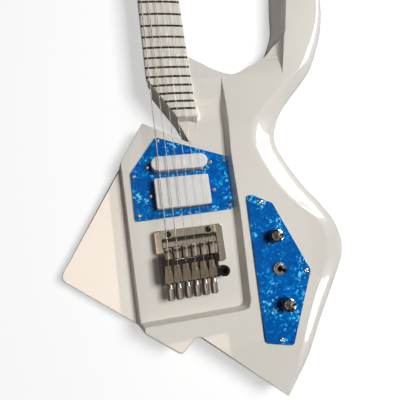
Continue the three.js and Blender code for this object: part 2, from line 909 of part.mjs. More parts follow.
// Hollow at the inner foot of the horn
function scoopTool() {
  const edge = scoopEdgeShares.map(onBody);
  const leftX = scoopLeftShare * bodyWidth;
  const topY = edge[edge.length - 1][1];
  const ring = (draft, z) => atHeight([
    [leftX, edge[0][1]],
    ...edge.map(([x, y]) => [x - draft, y]),
    [leftX, topY],
  ], z);
  const low = bodyThickness - scoopDepth;
  const plan = loft([ring(scoopDraft, low - overrun), ring(0, bodyThickness), ring(0, highZ)]);
  const profile = [
    [edge[0][1], highZ],
    ...rise(scoopStartShare * bodyLength, bodyThickness + rampRise, scoopEndShare * bodyLength, low),
    [topY + overrun, low],
    [topY + overrun, highZ],
  ];
  return plan.intersect(sideways(profile, 0, bodyWidth));
}

// Plan of the heel block, moved outward by a clearance
function heelPlan(clearance, inward) {
  const { foot, top } = boardCutLine(inward);
  const treble = (y) => boardHalf(y) + clearance;
  const endY = boardEndY - clearance;
  const part = (heelBassY - foot.y) / (top.y - foot.y);
  return {
    foot: [foot.x - clearance, endY],
    corner: [treble(boardEndY), endY],
    treble: [treble(heelTrebleY), heelTrebleY],
    bass: [THREE.MathUtils.lerp(foot.x, top.x, part), heelBassY],
  };
}

function neckPocketTool() {
  const { foot, corner, treble, bass } = heelPlan(seatGap, heelOverhang);
  const outline = [
    [foot[0] - overrun, foot[1]],
    corner,
    treble,
    [treble[0], heelTrebleY + farReach / 2],
    [-farReach, heelTrebleY + farReach / 2],
    [-farReach, heelBassY],
    [bass[0] - overrun - overrun, bass[1]],
  ];
  return prism(outline, pocketZ, highZ);
}

// Straight lower edge, from the notch corner to the tail, at a given x
function lowerEdgeY(x) {
  const start = onBody(cornerShares[cornerShares.length - 1]);
  const end = onBody(trebleShares[0]);
  return THREE.MathUtils.lerp(start[1], end[1], (x - start[0]) / (end[0] - start[0]));
}

function stadium(length, width) {
  const radius = width / 2;
  const reach = length / 2 - radius;
  const points = [];
  [0, Math.PI].forEach((turn) => {
    for (let step = 0; step <= pillSteps; step += 1) {
      const angle = turn - Math.PI / 2 + (step / pillSteps) * Math.PI;
      const side = turn === 0 ? reach : -reach;
      points.push([side + Math.cos(angle) * radius, Math.sin(angle) * radius]);
    }
  });
  return points;
}

function rectangle(length, width, radius) {
  const [x, y] = [length / 2, width / 2];
  return rounded([[-x, -y], [x, -y], [x, y], [-x, y]], radius);
}

const moved = (points, dx, dy) => points.map(([x, y]) => [x + dx, y + dy]);

const plateOutline = rounded(plateShares.map(onBody), plateRound);
const guardOutline = rounded(guardShares.map(onBody), guardRound);
const jackX = jackXShare * bodyWidth;
const jackSeatY = lowerEdgeY(jackX) + jackSeatInset;
const hornTipY = onBody(trebleShares[24])[1];
const tailY = onBody(trebleShares[0])[1];

function buildBody() {
  const stations = bodyOutline();
  const pocketTop = floorZ + overrun;
  const pickupPocket = (y, width) => {
    const length = (pickupEarReach + pickupPocketGap) * 2;
    const outline = moved(rectangle(length, width + pickupPocketGap * 2, bridgePickupRound), 0, y);
    return prism(outline, pickupBottomZ - (pickupPocketDepth - (floorZ - pickupBottomZ)), pocketTop);
  };
  const cavity = rounded(insetRing(plateShares.map(onBody), () => cavityLedge), plateRound);
  const screwHoles = guardScrewShares.map(onBody).map(([x, y]) => (
    peg(x, y, guardTopZ - screwShankLength - overrun / 2, pocketTop, screwHoleRadius)
  ));
  const plateHoles = plateScrewShares.map(onBody).map(([x, y]) => (
    peg(x, y, plateTopZ - screwShankLength - overrun / 2, highZ, screwHoleRadius)
  ));
  const frameHoles = [-frameScrewX, frameScrewX].map((x) => {
    const bottom = frameBottomZ + frontBarHeight - frameShankLength - overrun / 2;
    return peg(x, frameScrewY, bottom, pocketTop, frameShankRadius + runGap);
  });
  const hornX = hornButtonXShare * bodyWidth;
  const tailX = tailButtonXShare * bodyWidth;
  const hornSeatY = hornTipY - buttonInset;
  const tailSeatY = tailY + tailButtonInset;
  const shankHole = buttonShankLength + overrun / 2;
  const body = cut(
    bodySlab(stations),
    recessTool(),
    wingTool(),
    scoopTool(),
    neckPocketTool(),
    pickupPocket(neckPickupY, neckPickupWidth),
    pickupPocket(bridgePickupY, bridgePickupWidth),
    prism(cavity, bodyThickness - cavityDepth, highZ),
    block(-springPocketHalf, springPocketHalf, springPocketRearY, springPocketFrontY,
      floorZ - springPocketDepth, pocketTop),
    ...screwHoles,
    ...plateHoles,
    ...frameHoles,
    pegAlongY(jackX, jackZ, -bodyLength, jackSeatY, jackSeatRadius, knobSides),
    pegAlongY(jackX, jackZ, jackSeatY - overrun, jackSeatY + jackBarrelLength + overrun,
      jackBarrelRadius + runGap),
    pegAlongY(hornX, hornButtonZ, hornSeatY, bodyLength, buttonSeatRadius),
    pegAlongY(hornX, hornButtonZ, hornSeatY - shankHole, bodyLength, buttonShankRadius + runGap),
    pegAlongY(tailX, tailButtonZ, -bodyLength, tailSeatY, buttonSeatRadius * 2),
    pegAlongY(tailX, tailButtonZ, -bodyLength, tailSeatY + shankHole, buttonShankRadius + runGap),
  );
  addPiece('body', body, 'white');
}

// Neck with its heel block and the open channel for the truss rod
function buildNeck() {
  const { foot, corner, treble, bass } = heelPlan(0, heelOverhang);
  const heel = prism([foot, corner, treble, bass], neckTopZ - heelDepth, neckTopZ);
  const endY = scaleLength + neckHeadLength;
  const section = (y) => {
    const share = THREE.MathUtils.clamp((y - neckShaftStart) / (neckBodyY - neckShaftStart), 0, 1);
    const near = THREE.MathUtils.lerp(neckDepthHeel, neckDepthBody, share);
    const far = THREE.MathUtils.clamp((y - neckBodyY) / (scaleLength - neckBodyY), 0, 1);
    const depth = THREE.MathUtils.lerp(near, neckDepthNut, far);
    const half = boardHalf(Math.min(y, scaleLength));
    const ring = [];
    for (let side = 0; side <= neckSides; side += 1) {
      const angle = (side / neckSides) * Math.PI;
      const wide = Math.sign(Math.cos(angle)) * Math.abs(Math.cos(angle)) ** neckFullness;
      const deep = neckShoulder + (depth - neckShoulder) * Math.sin(angle) ** neckFullness;
      ring.push([wide * half, y, neckTopZ - deep]);
    }
    ring.push([-half, y, neckTopZ], [half, y, neckTopZ]);
    return ring;
  };
  const places = [neckShaftStart, (neckShaftStart + neckBodyY) / 2, neckBodyY,
    (neckBodyY + scaleLength) / 2, scaleLength, endY];
  const shaft = loft(places.map(section));
  const half = trussWidth / 2 + seatGap;
  const channel = block(-half, half, trussStart - seatGap, trussEnd + seatGap,
    neckTopZ - trussDepth - seatGap * 2, highZ);
  addPiece('neck', cut(join(heel, shaft), bassTrim(heelOverhang), channel), 'white');

  const rod = block(-trussWidth / 2, trussWidth / 2, trussStart, trussEnd,
    neckTopZ - seatGap - trussDepth, neckTopZ - seatGap);
  addPiece('truss_rod', rod, 'steel');
}

// Fretboard with its arched top and frets
function buildFretboard() {
  const endY = scaleLength - seatGap;
  const arch = (x) => boardTopZ - (boardRadius - Math.sqrt(boardRadius ** 2 - x ** 2));
  const section = (y) => {
    const half = boardHalf(y);
    const ring = [[-half, y, boardBottomZ], [half, y, boardBottomZ]];
    for (let step = 0; step <= boardSteps; step += 1) {
      const x = half - (step / boardSteps) * half * 2;
      ring.push([x, y, arch(x)]);
    }
    return ring;
  };
  const board = loft([section(boardEndY), section(endY)]);
  const frets = [];
  for (let fret = 1; fret <= fretCount; fret += 1) {
    const y = scaleLength * 2 ** (-fret / 12);
    const half = boardHalf(y) - fretInset;
    const rings = [];
    for (let step = 0; step <= fretSteps; step += 1) {
      const x = -half + (step / fretSteps) * half * 2;
      const z = arch(x);
      rings.push([
        [x, y - fretWidth / 2, z - fretSeat],
        [x, y + fretWidth / 2, z - fretSeat],
        [x, y + fretWidth / 2, z + fretHeight * fretShoulder],
        [x, y, z + fretHeight],
        [x, y - fretWidth / 2, z + fretHeight * fretShoulder],
      ]);
    }
    frets.push(loft(rings));
  }
  addPiece('fretboard', cut(join(board, ...frets), bassTrim(0)), 'board');
}

// Places of the six strings at the nut, the saddles and the jaws
const stringPlaces = stringRadii.map((radius, i) => {
  const middle = i - (stringRadii.length - 1) / 2;
  const share = i / (stringRadii.length - 1);
  return {
    radius,
    nutX: (nutSpread / (stringRadii.length - 1)) * middle,
    saddleX: saddleMiddleX + saddlePitch * middle,
    breakY: THREE.MathUtils.lerp(saddleBassBreakY, saddleTrebleBreakY, share),
    jawX: jawMiddleX + jawPitch * middle,
  };
});

function buildNutAndHeadpiece() {
  const nutBottom = neckTopZ + seatGap;
  const nutTop = nutBottom + nutHeight;
  const nutY = scaleLength;
  const slots = stringPlaces.map(({ nutX, radius }) => (
    block(nutX - radius - seatGap, nutX + radius + seatGap, nutY - overrun, nutY + nutLength + overrun,
      stringNutZ - radius - seatGap, highZ)
  ));
  const nut = block(-boardHalfNut, boardHalfNut, nutY, nutY + nutLength, nutBottom, nutTop);
  addPiece('nut', cut(nut, ...slots), 'bone');

  const startY = nutY + nutLength + seatGap;
  const outline = moved(rectangle(headpieceHalf * 2, headpieceLength, headpieceRound), 0,
    startY + headpieceLength / 2);
  const topZ = nutBottom + headpieceHeight;
  const base = softBlock(outline, nutBottom, topZ, edgeRound / 2);
  const clampY = startY + headpieceLength * clampShareY;
  const clamps = stringPlaces.map(({ nutX }) => (
    peg(nutX, clampY, topZ - overrun, topZ + clampHeight, clampRadius)
  ));
  const holes = stringPlaces.map(({ nutX }) => (
    pegAlongY(nutX, stringNutZ, startY - overrun, startY + stringHoleDepth, stringHoleRadius)
  ));
  addPiece('headpiece', cut(join(base, ...clamps), ...holes), 'satin');
}

function buildStrings() {
  stringPlaces.forEach(({ radius, nutX, saddleX, breakY, jawX }, i) => {
    const headY = scaleLength + nutLength + seatGap;
    const slotX = jawX + jawSlotX;
    const path = [
      new THREE.Vector3(nutX, headY + stringEnd, stringNutZ),
      new THREE.Vector3(nutX, headY, stringNutZ),
      new THREE.Vector3(nutX, scaleLength, stringNutZ),
      new THREE.Vector3(saddleX, breakY, stringSaddleZ),
      new THREE.Vector3(slotX, jawStringY, floorZ + jawStringStand),
      new THREE.Vector3(slotX, jawStringEndY, floorZ + jawStringStand),
    ];
    addPiece(`string_${i + 1}`, wire(path, radius, stringSides), 'steel');
  });
}

// Pickups: closed covers with ears and height screws
function pickupCover(outline, y) {
  const cover = softBlock(moved(outline, 0, y), pickupBottomZ, pickupTopZ, pickupEdge);
  const ears = block(-pickupEarReach, pickupEarReach, y - pickupEarWidth / 2, y + pickupEarWidth / 2,
    pickupBottomZ, pickupBottomZ + pickupEarHeight);
  const screws = [-pickupScrewX, pickupScrewX].map((x) => turned([
    [0, pickupBottomZ + pickupEarHeight / 2],
    [pickupScrewRadius, pickupBottomZ + pickupEarHeight / 2],
    [pickupScrewRadius, guardTopZ + seatGap],
    [pickupHeadRadius, guardTopZ + seatGap],
    [pickupHeadRadius, guardTopZ + seatGap + pickupHeadHeight / 2],
    [pickupHeadRadius / 2, guardTopZ + seatGap + pickupHeadHeight],
    [0, guardTopZ + seatGap + pickupHeadHeight],
  ], x, y, roundSides));
  return join(cover, ears, ...screws);
}

const neckPickupOutline = stadium(neckPickupLength, neckPickupWidth);
const bridgePickupOutline = rectangle(bridgePickupLength, bridgePickupWidth, bridgePickupRound);

function buildPickups() {
  addPiece('neck_pickup', pickupCover(neckPickupOutline, neckPickupY), 'white');
  addPiece('bridge_pickup', pickupCover(bridgePickupOutline, bridgePickupY), 'white');
}

// Pearl scratchplate with pickup openings and screw holes
function buildGuard() {
  const opening = (outline, y) => {
    const grown = moved(insetRing(outline, () => -pickupGap), 0, y);
    return prism(grown, guardBottomZ - overrun, guardTopZ + overrun);
  };
  const holes = guardScrewShares.map(onBody).map(([x, y]) => (
    peg(x, y, guardBottomZ - overrun, guardTopZ + overrun, screwHoleRadius)
  ));
  const heightHoles = [neckPickupY, bridgePickupY].flatMap((y) => (
    [-pickupScrewX, pickupScrewX].map((x) => (
      peg(x, y, guardBottomZ - overrun, guardTopZ + overrun, pickupScrewRadius + runGap)
    ))
  ));
  const plate = cut(
    prism(guardOutline, guardBottomZ, guardTopZ),
    opening(neckPickupOutline, neckPickupY),
    opening(bridgePickupOutline, bridgePickupY),
    ...holes,
    ...heightHoles,
  );
  addPiece('pickguard', plate, 'pearl');
  buildScrews('pickguard_screw', guardScrewShares, guardTopZ, 'steel');
}

function buildScrews(name, shares, seatZ, finish) {
  shares.map(onBody).forEach(([x, y], i) => {
    const headZ = seatZ + seatGap / 2;
    const screw = turned([
      [0, seatZ - screwShankLength],
      [screwShankRadius, seatZ - screwShankLength + screwShankRadius],
      [screwShankRadius, headZ],
      [screwHeadRadius, headZ],
      [screwHeadRadius * Math.cos(Math.PI / 4), headZ + screwHeadHeight * Math.sin(Math.PI / 4)],
      [0, headZ + screwHeadHeight],
    ], x, y, roundSides);
    addPiece(`${name}_${i + 1}`, screw, finish);
  });
}

// Control plate with its potentiometers, knobs and selector switch
function buildControls() {
  const through = (shares, radius) => {
    const [x, y] = onBody(shares);
    return peg(x, y, plateBottomZ - overrun, plateTopZ + overrun, radius, knobSides);
  };
  const plate = cut(
    prism(plateOutline, plateBottomZ, plateTopZ),
    through(volumeShares, potBushRadius + seatGap),
    through(toneShares, potBushRadius + seatGap),
    through(switchShares, switchBushRadius + seatGap),
    ...plateScrewShares.map((shares) => through(shares, screwHoleRadius)),
  );
  addPiece('control_plate', plate, 'pearl');
  buildScrews('plate_screw', plateScrewShares, plateTopZ, 'steel');

  const canTop = plateBottomZ - seatGap;
  const nutZ = plateTopZ + seatGap;
  const bushTop = plateTopZ + potBushHeight;
  const shaftTop = plateTopZ + potShaftHeight;
  const knobZ = plateTopZ + knobStand;
  const knobTop = knobZ + knobHeight;
  [['volume', volumeShares], ['tone', toneShares]].forEach(([name, shares]) => {
    const [x, y] = onBody(shares);
    const pot = turned([
      [0, canTop - potHeight], [potRadius, canTop - potHeight], [potRadius, canTop],
      [potBushRadius, canTop], [potBushRadius, nutZ], [potNutRadius, nutZ],
      [potNutRadius, nutZ + potNutHeight], [potBushRadius, nutZ + potNutHeight],
      [potBushRadius, bushTop], [potShaftRadius, bushTop], [potShaftRadius, shaftTop], [0, shaftTop],
    ], x, y, roundSides);
    addPiece(`${name}_pot`, pot, 'steel');
    const boreRadius = potBushRadius + runGap;
    const knob = turned([
      [0, knobZ + knobBoreDepth], [boreRadius, knobZ + knobBoreDepth],
      [boreRadius, knobZ + knobWellDepth], [knobWell, knobZ + knobWellDepth], [knobWell, knobZ],
      [knobRadius, knobZ], [knobTopRadius, knobTop - knobDome],
      [knobTopRadius - knobDome, knobTop], [0, knobTop],
    ], x, y, knobSides);
    addPiece(`${name}_knob`, knob, 'steel');
  });

  const [x, y] = onBody(switchShares);
  const pivotTop = plateTopZ + switchBushHeight;
  const switchCan = block(x - switchHalfWidth, x + switchHalfWidth, y - switchHalfLength,
    y + switchHalfLength, canTop - switchHeight, canTop);
  const switchTop = turned([
    [0, canTop - overrun], [switchBushRadius, canTop - overrun], [switchBushRadius, nutZ],
    [switchNutRadius, nutZ], [switchNutRadius, nutZ + switchNutHeight],
    [switchBushRadius, nutZ + switchNutHeight], [switchBushRadius, pivotTop], [0, pivotTop],
  ], x, y, knobSides);
  const well = peg(x, y, pivotTop - switchWellDepth, pivotTop + overrun, switchWellRadius);
  addPiece('switch_body', cut(join(switchCan, switchTop), well), 'satin');

  const ballZ = plateTopZ - leverDrop;
  const ballShoulder = leverBallRadius * Math.cos(Math.PI / 4);
  const upright = turned([
    [0, -leverBallRadius], [ballShoulder, -ballShoulder], [leverBallRadius, 0],
    [leverRadius, ballShoulder], [leverRadius, leverHeight - leverTipHeight],
    [leverTipRadius, leverHeight - leverTipHeight + leverRadius],
    [leverTipRadius, leverHeight - leverRadius], [0, leverHeight],
  ], 0, 0, roundSides);
  const lever = upright.rotate([leverTiltAngle, 0, leverTurnAngle]).translate([x, y, ballZ]);
  addPiece('switch_lever', lever, 'black');
}

// Barrel jack in its round seat in the lower edge
function buildJack() {
  const nutFront = jackSeatY - seatGap - jackNutHeight;
  const jack = turnedAlongY([
    [0, nutFront + jackBoreDepth], [jackBoreRadius, nutFront + jackBoreDepth],
    [jackBoreRadius, nutFront], [jackNutRadius, nutFront], [jackNutRadius, jackSeatY - seatGap],
    [jackBarrelRadius, jackSeatY - seatGap], [jackBarrelRadius, jackSeatY + jackBarrelLength],
    [0, jackSeatY + jackBarrelLength],
  ], jackX, jackZ, roundSides);
  addPiece('output_jack', jack, 'steel');
}

function buildStrapButtons() {
  const button = (x, z, seatY, outward) => {
    const at = (height) => seatY + outward * height;
    return turnedAlongY([
      [0, at(-buttonShankLength)], [buttonShankRadius, at(-buttonShankLength)],
      [buttonShankRadius, at(seatGap)], [buttonBase, at(seatGap)], [buttonBase, at(seatGap + buttonLip)],
      [buttonWaist, at(buttonHeight / 2)], [buttonRadius, at(buttonHeight - buttonLip)],
      [buttonRadius, at(buttonHeight - buttonLip / 2)], [buttonBase, at(buttonHeight)],
      [0, at(buttonHeight)],
    ], x, z, roundSides);
  };
  const hornSeatY = hornTipY - buttonInset;
  const tailSeatY = tailY + tailButtonInset;
  addPiece('strap_button_horn', button(hornButtonXShare * bodyWidth, hornButtonZ, hornSeatY, 1), 'steel');
  addPiece('strap_button_tail', button(tailButtonXShare * bodyWidth, tailButtonZ, tailSeatY, -1), 'steel');
}

// Bridge frame with its two body screws and the cross shaft
function buildBridgeFrame() {
  const inner = frameHalf - railWidth;
  const railTop = frameBottomZ + railHeight;
  const barTop = frameBottomZ + frontBarHeight;
  const outline = rounded([
    [-frameHalf, trebleRailEndY],
    [frameHalf, trebleRailEndY],
    [frameHalf, frameFrontY],
    [-frameHalf, frameFrontY],
  ], frameRound);
  const frame = cut(
    softBlock(outline, frameBottomZ, railTop, edgeRound / 2),
    block(-inner, inner, trebleRailEndY - overrun, frameFrontY + overrun, barTop, highZ),
    block(-inner, inner, trebleRailEndY - overrun, frameFrontY - frontBarDepth, deepZ, highZ),
    block(-farReach, 0, trebleRailEndY - overrun, bassRailEndY, deepZ, highZ),
    pegAlongX(pivotY, pivotZ, -farReach, farReach, shaftRadius + shaftGap),
    ...[-frameScrewX, frameScrewX].map((x) => (
      peg(x, frameScrewY, frameBottomZ - overrun, barTop + overrun, frameShankRadius + runGap)
    )),
  );
  addPiece('bridge_frame', frame, 'satin');
  addPiece('pivot_shaft', pegAlongX(pivotY, pivotZ, -frameHalf, frameHalf, shaftRadius), 'steel');
  ['bass', 'treble'].forEach((side, i) => {
    const seat = barTop + seatGap / 2;
    const screw = turned([
      [0, seat - frameShankLength], [frameShankRadius, seat - frameShankLength + frameShankRadius],
      [frameShankRadius, seat], [frameScrewRadius, seat], [frameScrewRadius, seat + frameScrewHeight],
      [0, seat + frameScrewHeight],
    ], i === 0 ? -frameScrewX : frameScrewX, frameScrewY, roundSides);
    addPiece(`bridge_screw_${side}`, screw, 'darkMetal');
  });
}

// Rocking carriage: hub, deck for the saddles, tail box for the jaws, spring arm and arm lug
function buildCarriage() {
  const half = frameHalf - railWidth - runGap;
  const tailTop = floorZ + tailTopStand;
  const tailBottom = floorZ + tailBottomStand;
  const wallTop = floorZ + tailWallStand;
  const sideTop = floorZ + tailSideStand;
  const trebleIn = jawMiddleX + jawPitch * 2.5 + jawBackRight + runGap;
  const trebleOut = trebleIn + treblePlateWidth;
  const hub = pegAlongX(pivotY, pivotZ, -half, half, hubRadius, knobSides);
  const deck = block(-half, half, deckRearY, pivotY, deckZ - deckThickness, deckZ);
  const tail = block(bassPlateOuter, trebleOut, tailRearY, bassPlateFrontY - overrun, tailBottom, tailTop);
  const bridge = block(-half, trebleOut, bassPlateFrontY - overrun * 2, pivotY, tailBottom, tailTop);
  const bassPlate = block(bassPlateOuter, bassPlateOuter + bassPlateWidth, tailRearY, bassPlateFrontY,
    tailBottom, sideTop);
  const treblePlate = block(trebleIn, trebleOut, tailRearY, deckRearY, tailBottom, sideTop);
  const rearWall = block(bassPlateOuter, trebleOut, tailRearY, tailRearY + tailWall, tailBottom, wallTop);
  const arm = block(-springArmHalf, springArmHalf, pivotY - springArmDepth / 2,
    pivotY + springArmDepth / 2, pivotZ - hubRadius - springArmReach, pivotZ);
  const lugBottom = floorZ + armLugStand;
  const lugTop = lugBottom + armLugHeight;
  const lug = peg(armX, armY, lugBottom, lugTop, armLugRadius, knobSides);
  const lugArm = block(trebleIn, armX, armY - armLugHalf, armY + armLugHalf, lugBottom, lugTop);
  const body = join(hub, deck, tail, bridge, bassPlate, treblePlate, rearWall, arm, lug, lugArm);
  const stems = stringPlaces.map(({ jawX }) => (
    pegAlongY(jawX, tunerZ, tailRearY - overrun, tailRearY + tailWall + overrun / 4,
      tunerStemRadius + tunerStemGap)
  ));
  const carriage = cut(
    body,
    pegAlongX(pivotY, pivotZ, -farReach, farReach, shaftRadius + runGap),
    peg(armX, armY, lugBottom - overrun, lugTop + overrun, armSleeveRadius + seatGap),
    ...stems,
  );
  addPiece('carriage', carriage, 'darkMetal');

  const flangeZ = lugTop + seatGap;
  const flangeTop = flangeZ + armFlangeHeight;
  const socket = turned([
    [0, lugBottom], [armSleeveRadius, lugBottom], [armSleeveRadius, flangeZ],
    [armFlangeRadius, flangeZ], [armFlangeRadius, flangeTop], [armBoreRadius, flangeTop],
    [armBoreRadius, flangeTop - armBoreDepth], [0, flangeTop - armBoreDepth],
  ], armX, armY, knobSides);
  addPiece('arm_socket', socket, 'black');
}

// Springs between the carriage's arm and the rear wall of their pocket
function buildSprings() {
  const z = pivotZ - hubRadius - springDrop;
  const frontY = pivotY - springArmDepth / 2 - seatGap;
  const rearY = springPocketRearY + seatGap;
  const coilRadius = springRadius - springWire;
  [['bass', -springX], ['treble', springX]].forEach(([side, x]) => {
    const points = [];
    const lead = springWire * 2;
    const steps = springTurns * springStepsPerTurn;
    const coil = frontY - rearY - lead * 2;
    points.push(new THREE.Vector3(x + coilRadius, rearY, z));
    for (let step = 0; step <= steps; step += 1) {
      const angle = (step / springStepsPerTurn) * Math.PI * 2;
      points.push(new THREE.Vector3(
        x + Math.cos(angle) * coilRadius,
        rearY + lead + (step / steps) * coil,
        z + Math.sin(angle) * coilRadius,
      ));
    }
    points.push(new THREE.Vector3(x + coilRadius, frontY, z));
    let least = Infinity;
    points.forEach((a, i) => {
      points.slice(i + springStepsPerTurn / 2).forEach((b) => {
        least = Math.min(least, a.distanceTo(b) - springWire * 2);
      });
    });
    console.log(`least gap of spring ${side}: ${least.toFixed(2)} mm`);
    addPiece(`spring_${side}`, wire(points, springWire, springSides), 'steel');
  });
}

// Six saddles with their height screws
function buildSaddles() {
  stringPlaces.forEach(({ radius, saddleX, breakY }, i) => {
    const wallZ = saddleBottomZ + saddleWallHeight;
    const arc = (side) => {
      const points = [];
      for (let step = 0; step <= humpSteps; step += 1) {
        const angle = (step / humpSteps) * Math.PI;
        points.push([
          saddleX + side * humpOffset + Math.cos(angle) * humpRadius,
          wallZ + Math.sin(angle) * humpRadius,
        ]);
      }
      return points;
    };
    const profile = [
      [saddleX - saddleHalf, saddleBottomZ],
      [saddleX + saddleHalf, saddleBottomZ],
      ...arc(1),
      ...arc(-1),
    ];
    const base = lengthways(profile, saddleRearY, breakY + saddleNose);
    const ridgeTop = stringSaddleZ - radius - ridgeGap;
    const ridgeZ = ridgeTop - ridgeRadius;
    const ridge = pegAlongX(breakY, ridgeZ, saddleX - ridgeHalf, saddleX + ridgeHalf, ridgeRadius);
    const post = block(saddleX - ridgeHalf, saddleX + ridgeHalf, breakY - ridgeRadius,
      breakY + ridgeRadius, wallZ - overrun / 2, ridgeZ);
    const screws = [-humpOffset, humpOffset].map((offset) => (
      peg(saddleX + offset, breakY, wallZ, saddleBottomZ + setScrewHeight, setScrewRadius, stringSides)
    ));
    addPiece(`saddle_${i + 1}`, join(base, post, ridge, ...screws), 'satin');
  });
}

// Six sliding jaws and the knurled knobs that draw them back
function buildJaws() {
  const knobFrontY = tailRearY - tunerFrontGap;
  stringPlaces.forEach(({ jawX }, i) => {
    const plan = (backY) => [
      [jawX + jawBackLeft, backY],
      [jawX + jawBackRight, backY],
      [jawX + jawBackRight, jawShoulderY - jawShoulderRun],
      [jawX + jawFrontRight, jawShoulderY],
      [jawX + jawFrontRight, jawFrontY],
      [jawX + jawFrontLeft, jawFrontY],
    ];
    const slotX = jawX + jawSlotX;
    const jaw = cut(
      join(
        prism(plan(jawBackY), jawBottomZ, jawTopZ),
        prism(plan(jawLipY), jawTopZ - jawLipHeight, jawTopZ),
      ),
      pegAlongY(jawX, tunerZ, jawLipY - overrun, tunerStemTipY + tunerBoreSpare,
        tunerStemRadius + tunerStemGap),
      block(slotX - jawSlotWidth / 2, slotX + jawSlotWidth / 2, jawSlotEndY, jawFrontY + overrun,
        floorZ + jawStringStand - stringRadii[0] - seatGap, highZ),
    );
    addPiece(`jaw_${i + 1}`, jaw, 'satin');
    const endY = knobFrontY - tunerLength;
    const collarY = knobFrontY - tunerCollarLength;
    const tuner = turnedAlongY([
      [0, endY], [tunerRadius - tunerChamfer, endY], [tunerRadius, endY + tunerChamfer],
      [tunerRadius, collarY - tunerChamfer], [tunerCollarRadius, collarY],
      [tunerCollarRadius, knobFrontY], [tunerStemRadius, knobFrontY],
      [tunerStemRadius, tunerStemTipY], [0, tunerStemTipY],
    ], jawX, tunerZ, roundSides);
    addPiece(`tuner_knob_${i + 1}`, tuner, 'satin');
  });
}

buildBody();
buildNeck();
buildFretboard();
buildNutAndHeadpiece();
buildStrings();
buildPickups();
buildGuard();
buildControls();
buildJack();
buildStrapButtons();
buildBridgeFrame();
buildCarriage();
buildSprings();
buildSaddles();
buildJaws();

export default guitar;
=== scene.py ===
import math
import bpy
import numpy as np
from mathutils import Matrix, Vector


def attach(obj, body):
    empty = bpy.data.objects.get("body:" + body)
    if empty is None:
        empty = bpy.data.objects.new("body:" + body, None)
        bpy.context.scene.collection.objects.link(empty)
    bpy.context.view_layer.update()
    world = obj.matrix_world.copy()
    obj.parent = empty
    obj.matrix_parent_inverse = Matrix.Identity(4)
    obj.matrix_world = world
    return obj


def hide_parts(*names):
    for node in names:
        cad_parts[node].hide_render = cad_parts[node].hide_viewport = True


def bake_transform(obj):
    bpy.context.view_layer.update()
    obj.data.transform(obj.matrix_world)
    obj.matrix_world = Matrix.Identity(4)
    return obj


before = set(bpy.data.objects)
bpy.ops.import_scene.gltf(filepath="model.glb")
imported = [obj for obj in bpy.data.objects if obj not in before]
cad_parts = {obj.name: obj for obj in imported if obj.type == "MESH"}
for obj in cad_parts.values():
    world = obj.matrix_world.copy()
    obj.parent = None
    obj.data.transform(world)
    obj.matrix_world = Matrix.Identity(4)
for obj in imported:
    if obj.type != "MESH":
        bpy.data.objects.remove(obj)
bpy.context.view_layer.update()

# Camera, placed where the photographer stood: above the bridge, looking down at the face of the
# guitar with the neck running out of the top of the picture.
LENS = 28.417
CAMERA_AT = (-0.05095, -0.00123, 0.40339)
CAMERA_RIGHT = (0.976466, -0.135966, 0.167411)
CAMERA_DOWN = (-0.110175, -0.981790, -0.154756)
CAMERA_AHEAD = (0.185404, 0.132669, -0.973665)


def add_object(name, data):
    """A new object in the scene."""
    made = bpy.data.objects.new(name, data)
    bpy.context.scene.collection.objects.link(made)
    return made


view = bpy.data.cameras.new("camera")
view.lens = LENS
view.sensor_width = 36
view.clip_start = 0.01
camera = add_object("camera", view)
turn = Matrix((CAMERA_RIGHT, -Vector(CAMERA_DOWN), -Vector(CAMERA_AHEAD))).transposed().to_4x4()
camera.matrix_world = Matrix.Translation(CAMERA_AT) @ turn
bpy.context.scene.camera = camera
bpy.context.scene.view_settings.view_transform = "Standard"


# Floor and light: a white table, one broad soft lamp high on the treble side, and a row of low
# window panes that draws broken streaks on the rounded lacquer. The panes, and the warm and
# neutral panels overhead, show in reflections alone.
KEY_AT, KEY_AIM = (1.02, 0.16, 1.90), (0.05, 0.0, 0.03)
KEY_SIZE, KEY_WATTS = (0.9, 0.9), 39.0
WINDOW_AT, WINDOW_AIM = np.array((1.75, 0.62, 0.78)), np.array((0.04, 0.05, 0.02))
PANE_COLUMNS, PANE_ROWS = (-7, -6, 0, 1, 2, 3), (-1, 0, 1)
PANE_SIZE, PANE_STEP, PANE_WATTS = (0.275, 0.325), (0.31, 0.36), 5.0
SKY_COLOUR, SKY_LEVEL = (1.0, 0.96, 0.90, 1), 0.05
WARM, NEUTRAL = (1.0, 0.80, 0.66), (1.0, 0.99, 0.96)
# middle, width and length, power and colour of each overhead panel
OVERHEADS = (
    ((-0.50, 0.02, 1.95), (0.46, 1.26), 14.5, WARM), ((-0.23, 0.02, 1.95), (0.08, 1.26), 1.0, WARM),
    ((0.10, -0.95, 1.95), (0.70, 0.60), 5.0, WARM), ((0.55, 0.05, 1.96), (1.3, 1.6), 3.9, NEUTRAL))
TABLE_REACH, TABLE_Z = 4, -0.0004
PAPER, PAPER_ROUGHNESS, PAPER_GLOW = (0.6, 0.6, 0.6, 1), 0.9, 0.54


def add_node(tree, kind, inputs=(), **settings):
    """A node with its settings; inputs pairs a socket with a value or with another node's output."""
    made = tree.nodes.new(kind)
    for name, value in settings.items():
        setattr(made, name, value)
    for socket, value in inputs:
        if isinstance(value, bpy.types.NodeSocket):
            tree.links.new(value, made.inputs[socket])
        else:
            made.inputs[socket].default_value = value
    return made


def aimed_lamp(name, place, aim, size, watts, colour=(1, 1, 1)):
    """A rectangular lamp whose face looks at a point."""
    lamp = bpy.data.lights.new(name, "AREA")
    lamp.color = colour
    lamp.shape = "RECTANGLE"
    lamp.size, lamp.size_y = size
    lamp.energy = watts
    held = add_object(name, lamp)
    held.location = place
    held.rotation_euler = (Vector(aim) - Vector(place)).to_track_quat("-Z", "Y").to_euler()
    return held


